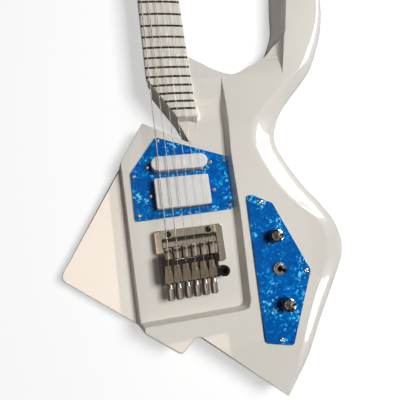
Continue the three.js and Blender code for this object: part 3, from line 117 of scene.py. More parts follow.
def new_material(name, values):
    """A material with its nodes and its shader, whose own sockets get the named values."""
    made = bpy.data.materials.new(name)
    made.use_nodes = True
    shader = made.node_tree.nodes["Principled BSDF"]
    for socket, value in values.items():
        shader.inputs[socket].default_value = value
    return made, made.node_tree, shader


def add_relief(tree, strength, height, depth=0.0001):
    """Gives a material's shader a relief from a height, in place of any that it has."""
    bump = add_node(tree, "ShaderNodeBump", [
        ("Strength", strength), ("Distance", depth), ("Height", height)])
    tree.links.new(bump.outputs[0], tree.nodes["Principled BSDF"].inputs["Normal"])


aimed_lamp("high soft lamp", KEY_AT, KEY_AIM, KEY_SIZE, KEY_WATTS).visible_glossy = False
across = np.cross(WINDOW_AIM - WINDOW_AT, (0, 0, 1))
across /= np.linalg.norm(across)
for column in PANE_COLUMNS:
    for row in PANE_ROWS:
        shift = across * PANE_STEP[0] * column + (0, 0, PANE_STEP[1] * row)
        pane = aimed_lamp(f"window pane {column} {row}", WINDOW_AT + shift, WINDOW_AIM + shift,
                          PANE_SIZE, PANE_WATTS)
        pane.visible_diffuse = False
for number, (at, size, watts, colour) in enumerate(OVERHEADS):
    panel = aimed_lamp(f"overhead panel {number}", at, (at[0], at[1], 0), size, watts, colour)
    panel.visible_diffuse = False

sky = bpy.data.worlds.new("sky")
sky.use_nodes = True
sky_tree = sky.node_tree
sky_light = sky_tree.nodes["Background"]
sky_light.inputs["Color"].default_value = SKY_COLOUR
sky_light.inputs["Strength"].default_value = SKY_LEVEL
seen = add_node(sky_tree, "ShaderNodeBackground", [("Color", (1, 1, 1, 1)), ("Strength", 1.0)])
ray = add_node(sky_tree, "ShaderNodeLightPath")
blend = add_node(sky_tree, "ShaderNodeMixShader", [
    (0, ray.outputs["Is Camera Ray"]), (1, sky_light.outputs[0]), (2, seen.outputs[0])])
sky_tree.links.new(blend.outputs[0], sky_tree.nodes["World Output"].inputs["Surface"])
bpy.context.scene.world = sky

table_mesh = bpy.data.meshes.new("table")
table_mesh.from_pydata([(x * TABLE_REACH, y * TABLE_REACH, TABLE_Z)
                        for x, y in ((-1, -1), (1, -1), (1, 1), (-1, 1))], [], [(0, 1, 2, 3)])
table = add_object("table", table_mesh)
paper, paper_tree, paper_shader = new_material("white paper", {
    "Base Color": PAPER, "Roughness": PAPER_ROUGHNESS, "Specular IOR Level": 0.0,
    "Emission Color": (1, 1, 1, 1)})
paper_ray = add_node(paper_tree, "ShaderNodeLightPath").outputs["Is Camera Ray"]
paper_glow = add_node(paper_tree, "ShaderNodeMath", [(0, paper_ray), (1, PAPER_GLOW)], operation="MULTIPLY")
paper_tree.links.new(paper_glow.outputs[0], paper_shader.inputs["Emission Strength"])
table_mesh.materials.append(paper)


# Body: one slab of wood in three stepped levels, sprayed with gloss white lacquer. The treble
# edge is carved to a wide round, and the sunk panel, wing step and pockets are routed from the face.
MM = 0.001
BODY_WIDTH, BODY_LENGTH, BODY_THICK = 390, 600, 42
# heights of the sunk panel and of the wing above the back, and a height clear of everything
FLOOR_Z, WING_Z, ABOVE_ALL = 30, 18, 110
# slope at which the wide round leaves the face; a steep wall has run and dropped by these shares
CREASE_ANGLE, STEEP_RUN, STEEP_DROP = math.radians(25), 0.18, 0.38
BACK_ROUND, EDGE_ROUND, CORNER_ROUND = 4, 2, 6
PER_STATION, BEVEL_RINGS, BACK_RINGS, CORNER_STEPS = 6, 12, 4, 8
# width of the bevel on cut edges, and the share of a short edge beside it that it may take
EDGE_SOFTENING, ROOM_SHARE = 1.3, 0.4
# stations along the treble edge: outer x, outer y, crease x, crease y, depth share, steepness
TREBLE_EDGE = np.array([
    (0.229, -0.310, 0.223, -0.304, 0.19, 0), (0.277, -0.286, 0.249, -0.273, 0.43, 0),
    (0.323, -0.260, 0.277, -0.237, 0.60, 0), (0.400, -0.183, 0.337, -0.154, 0.62, 0),
    (0.468, -0.116, 0.395, -0.087, 0.62, 0), (0.505, -0.076, 0.417, -0.062, 0.62, 0),
    (0.519, -0.044, 0.427, -0.023, 0.62, 0), (0.507, 0.003, 0.405, 0.018, 0.62, 0),
    (0.465, 0.051, 0.362, 0.039, 0.62, 0), (0.421, 0.089, 0.313, 0.072, 0.62, 0),
    (0.390, 0.123, 0.278, 0.105, 0.62, 0), (0.363, 0.157, 0.251, 0.145, 0.62, 0),
    (0.346, 0.187, 0.233, 0.182, 0.62, 0), (0.346, 0.210, 0.235, 0.207, 0.62, 0),
    (0.364, 0.242, 0.249, 0.235, 0.62, 0), (0.389, 0.268, 0.277, 0.256, 0.62, 0),
    (0.430, 0.297, 0.324, 0.286, 0.62, 0), (0.491, 0.337, 0.392, 0.322, 0.62, 0),
    (0.527, 0.365, 0.444, 0.347, 0.62, 0), (0.554, 0.397, 0.492, 0.393, 0.62, 0),
    (0.599, 0.469, 0.550, 0.468, 0.62, 0), (0.619, 0.575, 0.582, 0.575, 0.62, 0),
    (0.606, 0.637, 0.574, 0.628, 0.60, 0), (0.569, 0.682, 0.549, 0.665, 0.50, 0),
    (0.531, 0.697, 0.526, 0.682, 0.40, 0), (0.503, 0.685, 0.509, 0.670, 0.50, 0.5),
    (0.474, 0.650, 0.490, 0.640, 0.73, 1), (0.447, 0.595, 0.469, 0.588, 0.73, 1),
    (0.431, 0.538, 0.454, 0.535, 0.73, 1), (0.418, 0.476, 0.435, 0.472, 0.73, 1),
    (0.400, 0.446, 0.419, 0.433, 0.73, 1), (0.377, 0.418, 0.385, 0.412, 0.60, 1),
    (0.341, 0.388, 0.346, 0.383, 0.30, 0.6), (0.271, 0.361, 0.273, 0.354, 0.12, 0),
    (0.217, 0.344, 0.217, 0.338, 0.10, 0), (0.155, 0.356, 0.151, 0.350, 0.10, 0),
    (0.115, 0.371, 0.111, 0.366, 0.10, 0), (0.076, 0.386, 0.073, 0.381, 0.10, 0),
])
# x, y, corner radius as a share of CORNER_ROUND
STRAIGHT_CORNERS = np.array([
    (-0.060, 0.332, 1), (0.014, 0.253, 1.5), (0.045, 0.204, 0.25), (-0.098, 0.254, 0.5),
    (-0.383, -0.034, 1.4), (-0.064, -0.198, 1), (-0.014, -0.170, 1),
])
# top x, top y, foot x, foot y of the sunk panel's right and lower walls
PANEL_WALL = np.array([
    (0.136, -0.140, 0.124, -0.134), (0.150, -0.136, 0.137, -0.131), (0.156, -0.124, 0.142, -0.123),
    (0.166, 0.045, 0.154, 0.048), (0.165, 0.173, 0.156, 0.180), (0.172, 0.237, 0.161, 0.229),
    (0.174, 0.290, 0.161, 0.263), (0.170, 0.348, 0.160, 0.348),
])


def smooth_row(rows, per_row):
    """Extra rows between the given ones on a centripetal Catmull-Rom curve through them, where
    the tangents at each pair of rows are weighted by the square roots of the distances."""
    first, last = 2 * rows[0] - rows[1], 2 * rows[-1] - rows[-2]
    around = np.vstack([first, rows, last])
    a, b, c, d = around[:-3], around[1:-2], around[2:-1], around[3:]
    gaps = np.sqrt(np.linalg.norm(np.diff(around[:, :2], axis=0), axis=1))[:, None]
    g0, g1, g2 = gaps[:-2], gaps[1:-1], gaps[2:]
    out = g1 * ((b - a) / g0 - (c - a) / (g0 + g1) + (c - b) / g1)
    into = g1 * ((c - b) / g1 - (d - b) / (g1 + g2) + (d - c) / g2)
    t = (np.arange(per_row) / per_row)[None, :, None]
    b, c, out, into = b[:, None], c[:, None], out[:, None], into[:, None]
    made = b + t * out + t**2 * (3 * (c - b) - 2 * out - into) + t**3 * (2 * (b - c) + out + into)
    return np.vstack([made.reshape(-1, rows.shape[1]), rows[-1]])


def round_corner(before, at, after, radius, steps):
    """Points of an arc of the given radius that touches both sides of a corner."""
    back, ahead = before - at, after - at
    room = min(np.linalg.norm(back), np.linalg.norm(ahead)) / 2
    back, ahead = back / np.linalg.norm(back), ahead / np.linalg.norm(ahead)
    half = math.acos(np.clip(back @ ahead, -1, 1)) / 2
    tangent = min(radius / math.tan(half), room)
    radius = tangent * math.tan(half)
    middle = (back + ahead) / np.linalg.norm(back + ahead)
    centre = at + middle * radius / math.sin(half)
    start, end = at + back * tangent - centre, at + ahead * tangent - centre
    turn = math.atan2(start[0] * end[1] - start[1] * end[0], start @ end)
    angle = np.linspace(0, turn, steps + 1)[:, None]
    side = np.array((-start[1], start[0]))
    return centre + start * np.cos(angle) + side * np.sin(angle)


def rounded_outline(corners, radius, steps):
    """A closed outline with every corner rounded."""
    before, after = np.roll(corners, 1, axis=0), np.roll(corners, -1, axis=0)
    return np.vstack([round_corner(b, c, a, radius, steps) for b, c, a in zip(before, corners, after)])


def pull_in(ring, distance):
    """Moves the points of an anticlockwise ring inward, square to their two neighbours' sides."""
    back = ring - np.roll(ring, 1, axis=0)
    ahead = np.roll(ring, -1, axis=0) - ring
    back /= np.linalg.norm(back, axis=1, keepdims=True)
    ahead /= np.linalg.norm(ahead, axis=1, keepdims=True)
    normal = np.stack([-back[:, 1] - ahead[:, 1], back[:, 0] + ahead[:, 0]], axis=1)
    normal /= np.linalg.norm(normal, axis=1, keepdims=True)
    square = np.maximum(normal[:, 1] * back[:, 0] - normal[:, 0] * back[:, 1], 0.5)
    return ring + normal * (distance / square)[:, None]


def level(ring, z):
    """A flat ring at a height."""
    return np.column_stack([ring, np.full(len(ring), z)])


def skin(name, rings):
    """A closed mesh over rows of rings in millimetres: quads join each ring to the next, and the
    first and last rings are capped."""
    rings = np.asarray(rings, float) * MM
    rows, count = rings.shape[:2]
    ring, row = np.arange(count), np.arange(rows - 1)[:, None] * count
    a, b = (row + ring).ravel(), (row + np.roll(ring, -1)).ravel()
    faces = np.stack([a, b, b + count, a + count], axis=1).tolist()
    faces += [ring[::-1].tolist(), (ring + (rows - 1) * count).tolist()]
    mesh = bpy.data.meshes.new(name)
    mesh.from_pydata(rings.reshape(-1, 3), [], faces)
    mesh.update()
    return outward(add_object(name, mesh))


def read(items, what, kind=float, each=3):
    """What the vertices, edges or faces of a mesh hold, one row of numbers for each of them."""
    values = np.empty(len(items) * each, kind)
    items.foreach_get(what, values)
    return values.reshape(-1, each) if each > 1 else values


def outward(made):
    """Turns a closed mesh's faces outward, from the sign of the volume inside them."""
    mesh = made.data
    mesh.calc_loop_triangles()
    corners = read(mesh.loop_triangles, "vertices", int)
    a, b, c = read(mesh.vertices, "co")[corners].transpose(1, 0, 2)
    if np.einsum("ij,ij->", a, np.cross(b, c)) < 0:
        mesh.flip_normals()
    return made


def apply_all(made):
    """Bakes a piece's modifiers into its mesh."""
    baked = bpy.data.meshes.new_from_object(made.evaluated_get(bpy.context.evaluated_depsgraph_get()))
    made.modifiers.clear()
    made.data = baked
    return made


def carve(made, cutters, how="DIFFERENCE"):
    """Cuts each closed cutter out of a piece, joins it on, or keeps what both share, and removes it."""
    for cutter in cutters:
        step = made.modifiers.new("carve", "BOOLEAN")
        step.operation = how
        step.solver = "EXACT"
        step.object = cutter
    bpy.context.view_layer.update()
    apply_all(made)
    for cutter in cutters:
        bpy.data.objects.remove(cutter)
    return made


def edge_turns(mesh, places, ends):
    """How far the surface turns at each edge, negative in a hollow: the angle between the normals of
    the two faces beside it, signed by their cross product along the way the first face runs."""
    at, start = (read(mesh.loops, what, int, 1) for what in ("edge_index", "vertex_index"))
    totals, facing = read(mesh.polygons, "loop_total", int, 1), read(mesh.polygons, "normal")
    order = np.argsort(at, kind="stable")
    face = np.repeat(np.arange(len(totals)), totals)[order]
    first = np.searchsorted(at[order], np.arange(len(mesh.edges)))
    pair = facing[face[np.stack([first, np.minimum(first + 1, len(face) - 1)])]]
    way = places[ends].sum(axis=1) - 2 * places[start[order[first]]]
    inward = (np.cross(pair[0], pair[1]) * way).sum(axis=1) < 0
    return np.arccos(np.clip((pair[0] * pair[1]).sum(axis=1), -1, 1)) * np.where(inward, -1, 1)


def shade(made, sharp):
    """Shades a piece smooth, apart from the edges that turn by more than an angle in degrees."""
    made.data.shade_smooth()
    made.data.set_sharp_from_angle(angle=math.radians(sharp))
    return made


# how much larger faces pull on the shading, the difference in square metres that makes one larger,
# and how many degrees more an edge may turn and be shaded smooth, once it is rounded
FLAT_PULL, FLAT_STEP, SHADE_MORE = 60, 1e-7, 15


def soften(made, width, segments=2, angle=35, fade=None):
    """Rounds the sharp edges of a piece and shades it smooth between them; fade gives each edge a
    share of the width from the place of its middle, and short edges beside it hold the width back."""
    mesh = made.data
    if fade:
        ends, places = read(mesh.edges, "vertices", int, 2), read(mesh.vertices, "co") / MM
        turns_out = edge_turns(mesh, places, ends) > math.radians(angle)
        weight = np.where(turns_out, fade(*places[ends].mean(axis=1).T), 0)
        length = np.linalg.norm(places[ends[:, 0]] - places[ends[:, 1]], axis=1)
        room, plain = np.full(len(places), np.inf), weight == 0
        np.minimum.at(room, ends[plain].ravel(), np.repeat(length[plain], 2))
        weight = np.minimum(weight, ROOM_SHARE * room[ends].min(axis=1) / width)
        mesh.attributes.new("bevel_weight_edge", "FLOAT", "EDGE").data.foreach_set("value", weight)
    shade(made, angle)
    rounding = made.modifiers.new("rounded edges", "BEVEL")
    rounding.width = width * MM
    rounding.segments = segments
    rounding.limit_method = "WEIGHT" if fade else "ANGLE"
    rounding.angle_limit = math.radians(angle)
    rounding.use_clamp_overlap = not fade
    rounding.miter_outer = "MITER_ARC"
    bpy.context.view_layer.update()
    apply_all(made)
    even = made.modifiers.new("even shading", "WEIGHTED_NORMAL")
    even.keep_sharp = True
    if not fade:
        even.weight, even.thresh = FLAT_PULL, FLAT_STEP
    shade(made, angle + SHADE_MORE)
    bpy.context.view_layer.update()
    return apply_all(made)


def slab(name, ring, low, high):
    """An upright closed block over an outline."""
    return skin(name, [level(ring, low), level(ring, high)])


def shares(points):
    """Points given as shares of the body's width and length."""
    return np.asarray(points, float) * (BODY_WIDTH, BODY_LENGTH)


chain = shares(STRAIGHT_CORNERS[:, :2])
outer, crease = (smooth_row(shares(TREBLE_EDGE[:, n:n + 2]), PER_STATION) for n in (0, 2))
station = np.linspace(0, len(TREBLE_EDGE) - 1, len(outer))
depth_share, steepness = (
    np.interp(station, np.arange(len(TREBLE_EDGE)), TREBLE_EDGE[:, n]) for n in (4, 5))
before, after = np.vstack([outer[-1], chain[:-1]]), np.vstack([chain[1:], outer[0]])
corners = np.vstack([
    round_corner(b, c, a, CORNER_ROUND * share, CORNER_STEPS)
    for b, c, a, share in zip(before, chain, after, STRAIGHT_CORNERS[:, 2])])
outline = np.vstack([outer, corners])
crease = np.vstack([crease, pull_in(outline, EDGE_ROUND)[len(outer):]])
drop = np.concatenate([depth_share * BODY_THICK, np.full(len(corners), EDGE_ROUND)])[:, None]
steep = np.concatenate([steepness, np.zeros(len(corners))])[:, None]
body_rings = []
for line in np.linspace(0, 1, BEVEL_RINGS):
    angle = CREASE_ANGLE + line * (math.pi / 2 - CREASE_ANGLE)
    run = (math.sin(angle) - math.sin(CREASE_ANGLE)) / (1 - math.sin(CREASE_ANGLE))
    fall = (math.cos(CREASE_ANGLE) - math.cos(angle)) / math.cos(CREASE_ANGLE)
    steep_run = np.interp(line, (0, STEEP_DROP, 1), (0, STEEP_RUN, 1))
    reach = run + (steep_run - run) * steep
    fall = fall + (line - fall) * steep
    body_rings.append(np.hstack([crease + (outline - crease) * reach, BODY_THICK - drop * fall]))
for angle in np.linspace(0, math.pi / 2, BACK_RINGS):
    inset = BACK_ROUND * (1 - math.cos(angle))
    body_rings.append(level(pull_in(outline, inset), BACK_ROUND * (1 - math.sin(angle))))
body = skin("body_shell", body_rings[::-1])

BOARD_END_Y, SCALE = 151.5, 647.7
BOARD_END_HALF, BOARD_NUT_HALF = 28.4, 22
CUT_LENGTH = 52
CUT_FOOT = np.array((3.4, BOARD_END_Y))
# how far the cuts reach in under the neck, the gap left beside it, and how far they overshoot
HIDDEN, NECK_GAP, SPARE, OUTSIDE = 2, 0.25, 3, 500


def board_half(y):
    """Half the fretboard's width at a place along the strings."""
    return BOARD_NUT_HALF + (BOARD_END_HALF - BOARD_NUT_HALF) * (SCALE - y) / (SCALE - BOARD_END_Y)


CUT_TOP = np.array((-board_half(BOARD_END_Y + CUT_LENGTH), BOARD_END_Y + CUT_LENGTH))


def cut_line_x(y, inward):
    """Where the slanting end of the neck lies at a height along the strings."""
    along = (CUT_TOP - CUT_FOOT) / np.linalg.norm(CUT_TOP - CUT_FOOT)
    foot = CUT_FOOT + np.array((along[1], -along[0])) * inward
    return foot[0] + (y - foot[1]) * along[0] / along[1]


def rising(name, foot, top, sides, start):
    """A block whose underside climbs from one place and height to another along the strings, by
    the share t squared times 3 - 2t, and lies level from the start to its foot."""
    t = np.linspace(0, 1, 13)
    (y0, z0), (y1, z1) = foot, top
    y = np.concatenate([[start], y0 + (y1 - y0) * t, [y1, start]])
    z = np.concatenate([[z0], z0 + (z1 - z0) * t * t * (3 - 2 * t), [ABOVE_ALL + 10, ABOVE_ALL + 10]])
    side = np.column_stack([y, z])
    return skin(name, [np.column_stack([np.full(len(side), x), side]) for x in sides])


# sunk panel: its rim follows the wall on the right, the neck, and the step to the wing
LEFT, STEP_END_Y = -BODY_WIDTH / 2, 0.292 * BODY_LENGTH
STEP_TOP_Y, STEP_FOOT_Y = -0.137 * BODY_LENGTH, -0.133 * BODY_LENGTH
RAMP_FOOT, RAMP_TOP = (0.262 * BODY_LENGTH, FLOOR_Z), (0.346 * BODY_LENGTH, BODY_THICK + 0.4)
# top x, top y, foot x, foot y of the hollow flank, from the neck's corner; its width up the neck
FLANK = np.array([(0, 8, 9, 8), (0, 0.25, 6.36, -3), (-0.25, 0, 0, -6), (-6, 0, -6, -0.25)])
FLANK_WIDTH = 9
neck_corner = np.array((board_half(BOARD_END_Y) + NECK_GAP, BOARD_END_Y - NECK_GAP))
neck_x, panel_end = neck_corner
wall_top, wall_low = shares(PANEL_WALL[:, :2]), shares(PANEL_WALL[:, 2:])
flank_top = np.vstack([(neck_x, wall_top[-1, 1]), FLANK[:, :2] + neck_corner])
flank_low = np.vstack([(neck_x + FLANK_WIDTH, wall_top[-1, 1]), FLANK[:, 2:] + neck_corner])
plain_top, plain_low = (np.array([
    (cut_line_x(panel_end, HIDDEN), panel_end), (cut_line_x(STEP_END_Y, HIDDEN), STEP_END_Y),
    (LEFT, STEP_END_Y), (LEFT, y)]) for y in (STEP_TOP_Y, STEP_FOOT_Y))
panel_top = np.vstack([wall_top, flank_top, plain_top])
panel_low = np.vstack([wall_low, flank_low, plain_low])
hollow = np.repeat((0, 1, 0), (len(wall_top), len(flank_top), len(plain_top)))[:, None]
panel_rings = [level(panel_low, FLOOR_Z - SPARE)]
for angle in np.linspace(0, math.pi / 2, 9):
    height = 1 - math.cos(angle)
    reach = hollow * math.sin(angle) + (1 - hollow) * height
    rim = panel_low + (panel_top - panel_low) * reach
    panel_rings.append(level(rim, FLOOR_Z + (BODY_THICK - FLOOR_Z) * height))
panel_rings.append(level(panel_top, ABOVE_ALL))
panel_cut = skin("panel_cut", panel_rings)
carve(panel_cut, [rising("ramp", RAMP_FOOT, RAMP_TOP, (-300, 300), -OUTSIDE)], "INTERSECT")

# lowest wing: x of its step halfway along, how far that slants at each end, and how far it leans
WING_X, WING_SLANT, WING_LEAN = -0.164 * BODY_WIDTH, (9.9, -2), 8


def wing_ring(x, z):
    """The wing's outline at a height, from its slanting step out past the bass edge."""
    return [(-BODY_WIDTH, -OUTSIDE, z), (x + WING_SLANT[0], -OUTSIDE, z),
            (x + WING_SLANT[1], STEP_END_Y, z), (-BODY_WIDTH, STEP_END_Y, z)]


wing_cut = skin("wing_cut", [wing_ring(WING_X - WING_LEAN, WING_Z), wing_ring(WING_X, BODY_THICK),
                             wing_ring(WING_X, ABOVE_ALL)])

# hollow at the inner foot of the horn
SCOOP_EDGE = shares([(0.386, 0.337), (0.406, 0.392), (0.421, 0.437)])
SCOOP_LEFT = 0.23 * BODY_WIDTH
SCOOP_FOOT, SCOOP_TOP = (0.410 * BODY_LENGTH, 31), (0.328 * BODY_LENGTH, 42.4)
# wall of the hollow: how far it has run out at a height
SCOOP_WALL = ((14, 28), (6.8, 32.2), (3.8, 34.6), (1.6, 38), (0, BODY_THICK), (0, ABOVE_ALL))


def scoop_ring(draft, z):
    """The hollow's outline at a height, with its curved side moved in by the draft."""
    return level(np.vstack([(SCOOP_LEFT, SCOOP_EDGE[0, 1]), SCOOP_EDGE - (draft, 0),
                            (SCOOP_LEFT, SCOOP_EDGE[-1, 1])]), z)


scoop_cut = skin("scoop_cut", [scoop_ring(draft, z) for draft, z in SCOOP_WALL])
scoop_ramp = rising("scoop_ramp", SCOOP_FOOT, SCOOP_TOP, (0, 300), SCOOP_FOOT[0] + 20)
carve(scoop_cut, [scoop_ramp], "INTERSECT")


def oblong(x, y, length, width, radius, steps=6):
    """A rectangle with rounded corners about a point."""
    half = np.array((length, width)) / 2
    square = np.array([(-1, -1), (1, -1), (1, 1), (-1, 1)]) * half + (x, y)
    return rounded_outline(square, radius, steps)


def lathe(name, profile, middle, axis="Z", sides=32):
    """A turned piece: a profile of radius and height carried round its axis through a point."""
    radius, height = np.asarray(profile, float).T[:, :, None]
    turn = np.linspace(0, 2 * math.pi, sides, endpoint=False)
    wide, deep, tall = np.broadcast_arrays(np.cos(turn) * radius, np.sin(turn) * radius, height)
    order = {"Z": (wide, deep, tall), "Y": (wide, tall, deep), "X": (tall, wide, deep)}[axis]
    return skin(name, np.stack(order, axis=2) + np.asarray(middle, float))


# neck pocket, pickup pockets, control cavity, spring pocket, jack seat and strap button seats
HEEL_LENGTH, POCKET_PAST, POCKET_LEFT = 85.5, 35, -70
PILL_Y, BLOCK_Y = 94.62, 59.88
PLATE_CORNERS = shares([(0.191, 0.084), (0.180, -0.205), (0.263, -0.219), (0.358, -0.085), (0.270, 0.057)])
JACK_X, JACK_Z, JACK_SEAT = 78, 21, -164.975
pocket_end, heel_top, slant_top = BOARD_END_Y + HIDDEN, BOARD_END_Y + HEEL_LENGTH, CUT_TOP[1] + 0.5
heel_right = board_half(heel_top) - HIDDEN
neck_pocket = np.array([
    (cut_line_x(pocket_end, HIDDEN) + 1, pocket_end), (board_half(pocket_end) - HIDDEN, pocket_end),
    (heel_right, heel_top - HIDDEN), (heel_right, heel_top + POCKET_PAST),
    (POCKET_LEFT, heel_top + POCKET_PAST), (POCKET_LEFT, slant_top),
    (cut_line_x(slant_top, HIDDEN), slant_top)])
# outline, floor and top of each upright cut
POCKETS = (
    ("neck_pocket", neck_pocket, 20, ABOVE_ALL),
    ("pill_pocket", oblong(0, PILL_Y, 90.2, 20.9, 2.5), 19, FLOOR_Z + SPARE),
    ("block_pocket", oblong(0, BLOCK_Y, 90.2, 40, 2.5), 19, FLOOR_Z + SPARE),
    ("cavity", rounded_outline(pull_in(PLATE_CORNERS, 6.0), 5, 4), 15, 60),
    ("spring_pocket", oblong(0, -14, 40, 48, 0.5, 1), 8.5, FLOOR_Z + SPARE))
# radius, first and last y, x, height and sides of each hole bored along the strings
BORES = (
    ("jack_seat", 10, -300, JACK_SEAT, JACK_X, JACK_Z, 40),
    ("jack_hole", 6.2, JACK_SEAT - 3, JACK_SEAT + 43, JACK_X, JACK_Z, 32),
    ("horn_seat", 6.5, 416.6, 600, 207.09, 16, 32), ("tail_seat", 13, -600, -176, 93, 12, 32))
cuts = [panel_cut, wing_cut, scoop_cut, *(slab(*sizes) for sizes in POCKETS)]
cuts += [lathe(name, [(radius, first), (radius, last)], (x, 0, z), "Y", sides)
         for name, radius, first, last, x, z, sides in BORES]

# beside the neck the panel's wall is rounded only right of FLANK_X, fading out up to WALL_END
WALL_X, WALL_Y, FLANK_X, WALL_END, WALL_FADE = (20, 82), (150, OUTSIDE), 45, 186, 26
# the hollow's rim in the face is rounded from RIM_START up, and the edges of its wall, which lie
# between two heights, from WALL_START up
HOLLOW_X, HOLLOW_Y, HOLLOW_Z = (82, 175), (190, 275), (15, 41.5)
RIM_START, WALL_START, HOLLOW_FADE = 212, 250, 25
NECK_COVER_Y = (BOARD_END_Y - 2, 245)


def within(value, limits):
    """Whether each value lies between two limits."""
    return (value > limits[0]) & (value < limits[1])


def edge_share(x, y, z):
    """Full rounding, fading out where the panel's wall and the hollow's wall run out in the face,
    and none where the neck covers the edge."""
    panel_wall = np.where(within(x, WALL_X) & within(y, WALL_Y),
                          np.clip((WALL_END - y) / WALL_FADE, 0, 1) * (x > FLANK_X), 1)
    start = np.where(within(z, HOLLOW_Z), WALL_START, RIM_START)
    hollow_wall = np.where(within(x, HOLLOW_X) & within(y, HOLLOW_Y),
                           np.clip((y - start) / HOLLOW_FADE, 0, 1), 1)
    covered_edge = within(x, (cut_line_x(y, 0) - 3, board_half(y) + 1)) & within(y, NECK_COVER_Y)
    return panel_wall * hollow_wall * ~covered_edge


body = soften(carve(body, cuts), EDGE_SOFTENING, 3, 38, edge_share)
body.name = "white_body"

# gloss white lacquer: faint warm and cool clouds over the wood, a barely rippled skin
wear = bpy.data.node_groups.new("surface variation", "ShaderNodeTree")
for way, sockets in (
        ("INPUT", (("Stretch", "Vector"), ("Scale", "Float"), ("Pale", "Color"), ("Deep", "Color"),
                   ("Smooth", "Float"), ("Dull", "Float"), ("Fine", "Float"))),
        ("OUTPUT", (("Colour", "Color"), ("Roughness", "Float"), ("Height", "Float")))):
    for label, kind in sockets:
        wear.interface.new_socket(name=label, in_out=way, socket_type=f"NodeSocket{kind}")
given = add_node(wear, "NodeGroupInput").outputs
place = add_node(wear, "ShaderNodeTexCoord").outputs["Object"]
drawn = add_node(wear, "ShaderNodeVectorMath", [(0, place), (1, given["Stretch"])], operation="MULTIPLY")
drawn = drawn.outputs[0]
cloud, ripple = (
    add_node(wear, "ShaderNodeTexNoise", [("Vector", drawn), ("Scale", given[size]), ("Detail", detail)])
    for size, detail in (("Scale", 4.0), ("Fine", 3.0)))
contrast = add_node(wear, "ShaderNodeMapRange", [("Value", cloud.outputs[0]), (1, 0.3), (2, 0.7)])
tint = add_node(wear, "ShaderNodeMix", [("Factor", contrast.outputs[0]), (6, given["Pale"]),
                                       (7, given["Deep"])], data_type="RGBA")
matt = add_node(wear, "ShaderNodeMapRange", [("Value", ripple.outputs[0]), (1, 0.3), (2, 0.7),
                                            (3, given["Smooth"]), (4, given["Dull"])])
add_node(wear, "NodeGroupOutput", [("Colour", tint.outputs[2]), ("Roughness", matt.outputs[0]),
                                   ("Height", ripple.outputs[0])])
COAT_ROUGHNESS = 0.03


def finish(name, pale, deep, smooth, dull, metal=0.0, coat=0.0, shine=0.5, scale=30.0, fine=400.0,
           stretch=(1, 1, 1), bump=0.05, depth=0.0001):
    """A material whose colour, roughness and relief vary through the surface variation group."""
    made, tree, shader = new_material(name, {
        "Metallic": metal, "Specular IOR Level": shine, "Coat Weight": coat,
        "Coat Roughness": COAT_ROUGHNESS})
    worn = add_node(tree, "ShaderNodeGroup", [
        ("Stretch", stretch), ("Scale", scale), ("Fine", fine), ("Pale", (*pale, 1)), ("Deep", (*deep, 1)),
        ("Smooth", smooth), ("Dull", dull)], node_tree=wear)
    tree.links.new(worn.outputs["Colour"], shader.inputs["Base Color"])
    tree.links.new(worn.outputs["Roughness"], shader.inputs["Roughness"])
    add_relief(tree, bump, worn.outputs["Height"], depth)
    return made


def dress(made, material, slot, body_name="guitar", *nodes):
    """Gives a piece its material, the body that it moves with and the nodes it stands for; slot is not
    used.
    """
    made.data.materials.clear()
    made.data.materials.append(material)
    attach(made, body_name)
    if nodes:
        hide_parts(*nodes)


lacquer = finish("white lacquer", (0.84, 0.80, 0.73), (0.80, 0.755, 0.68), 0.3, 0.4, coat=1.0, shine=0.2,
                 scale=9, fine=160, bump=0.04, depth=0.0003)
dress(body, lacquer, "white_lacquer", "guitar", "body")


# Neck: a white lacquered beam with a square heel, screwed into its pocket, with the adjustment
# rod lying in an open channel under the fretboard.
SEAM = 0.00001


def from_part(node, name, width, segments=2, angle=35):
    """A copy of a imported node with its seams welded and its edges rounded."""
    made = add_object(name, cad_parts[node].data.copy())
    weld = made.modifiers.new("weld", "WELD")
    weld.merge_threshold = SEAM
    bpy.context.view_layer.update()
    apply_all(made)
    return soften(made, width, segments, angle)


def fit(node, name, material, slot, width, segments=2, angle=35, body_name="guitar"):
    """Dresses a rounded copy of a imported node, which it stands for."""
    dress(from_part(node, name, width, segments, angle), material, slot, body_name, node)


fit("neck", "white_neck", lacquer, "white_lacquer", 0.8, 3)


# Fretboard: pale fine-grained wood with an arched face, cut off on a slant at the body end, and
# twenty-four frets of half-round wire pressed into it, coloured dark as a painted reflection of a dark
# surround.
BOARD_LOW, BOARD_TOP, BOARD_RADIUS = 38, 44, 305
FRETS, FRET_WIDTH, FRET_HEIGHT, FRET_SINK = 24, 2.7, 1.0, 0.5
# how far a fret stops short of the board's bass and treble sides
FRET_SHORT = (0.2, 0.5)


def arch(x):
    """Height of the board's face: the arc of a circle over its middle."""
    return BOARD_TOP - (BOARD_RADIUS - np.sqrt(BOARD_RADIUS**2 - x**2))


def board_left(y):
    """The board's bass side, or the slanting cut where that lies further in."""
    return np.maximum(-board_half(y), cut_line_x(y, 0))


board_y = np.concatenate([[BOARD_END_Y], np.linspace(CUT_TOP[1], SCALE - NECK_GAP, 12)])[:, None]
left, right = board_left(board_y), board_half(board_y)
board_x = np.hstack([left, right, left + (right - left) * np.linspace(1, 0, 25)])
board_z = np.hstack([np.full((len(board_y), 2), BOARD_LOW), arch(board_x[:, 2:])])
board_rows = np.stack(np.broadcast_arrays(board_x, board_y, board_z), axis=2)
board = soften(skin("fretboard_wood", board_rows), 1.3, 4, 40)
grain = finish("pale board", (0.90, 0.86, 0.78), (0.66, 0.61, 0.53), 0.42, 0.6, coat=0.1, scale=560,
               fine=620, stretch=(1, 0.05, 1), bump=0.3, depth=0.0002)
dress(board, grain, "pale_board", "guitar", "fretboard")

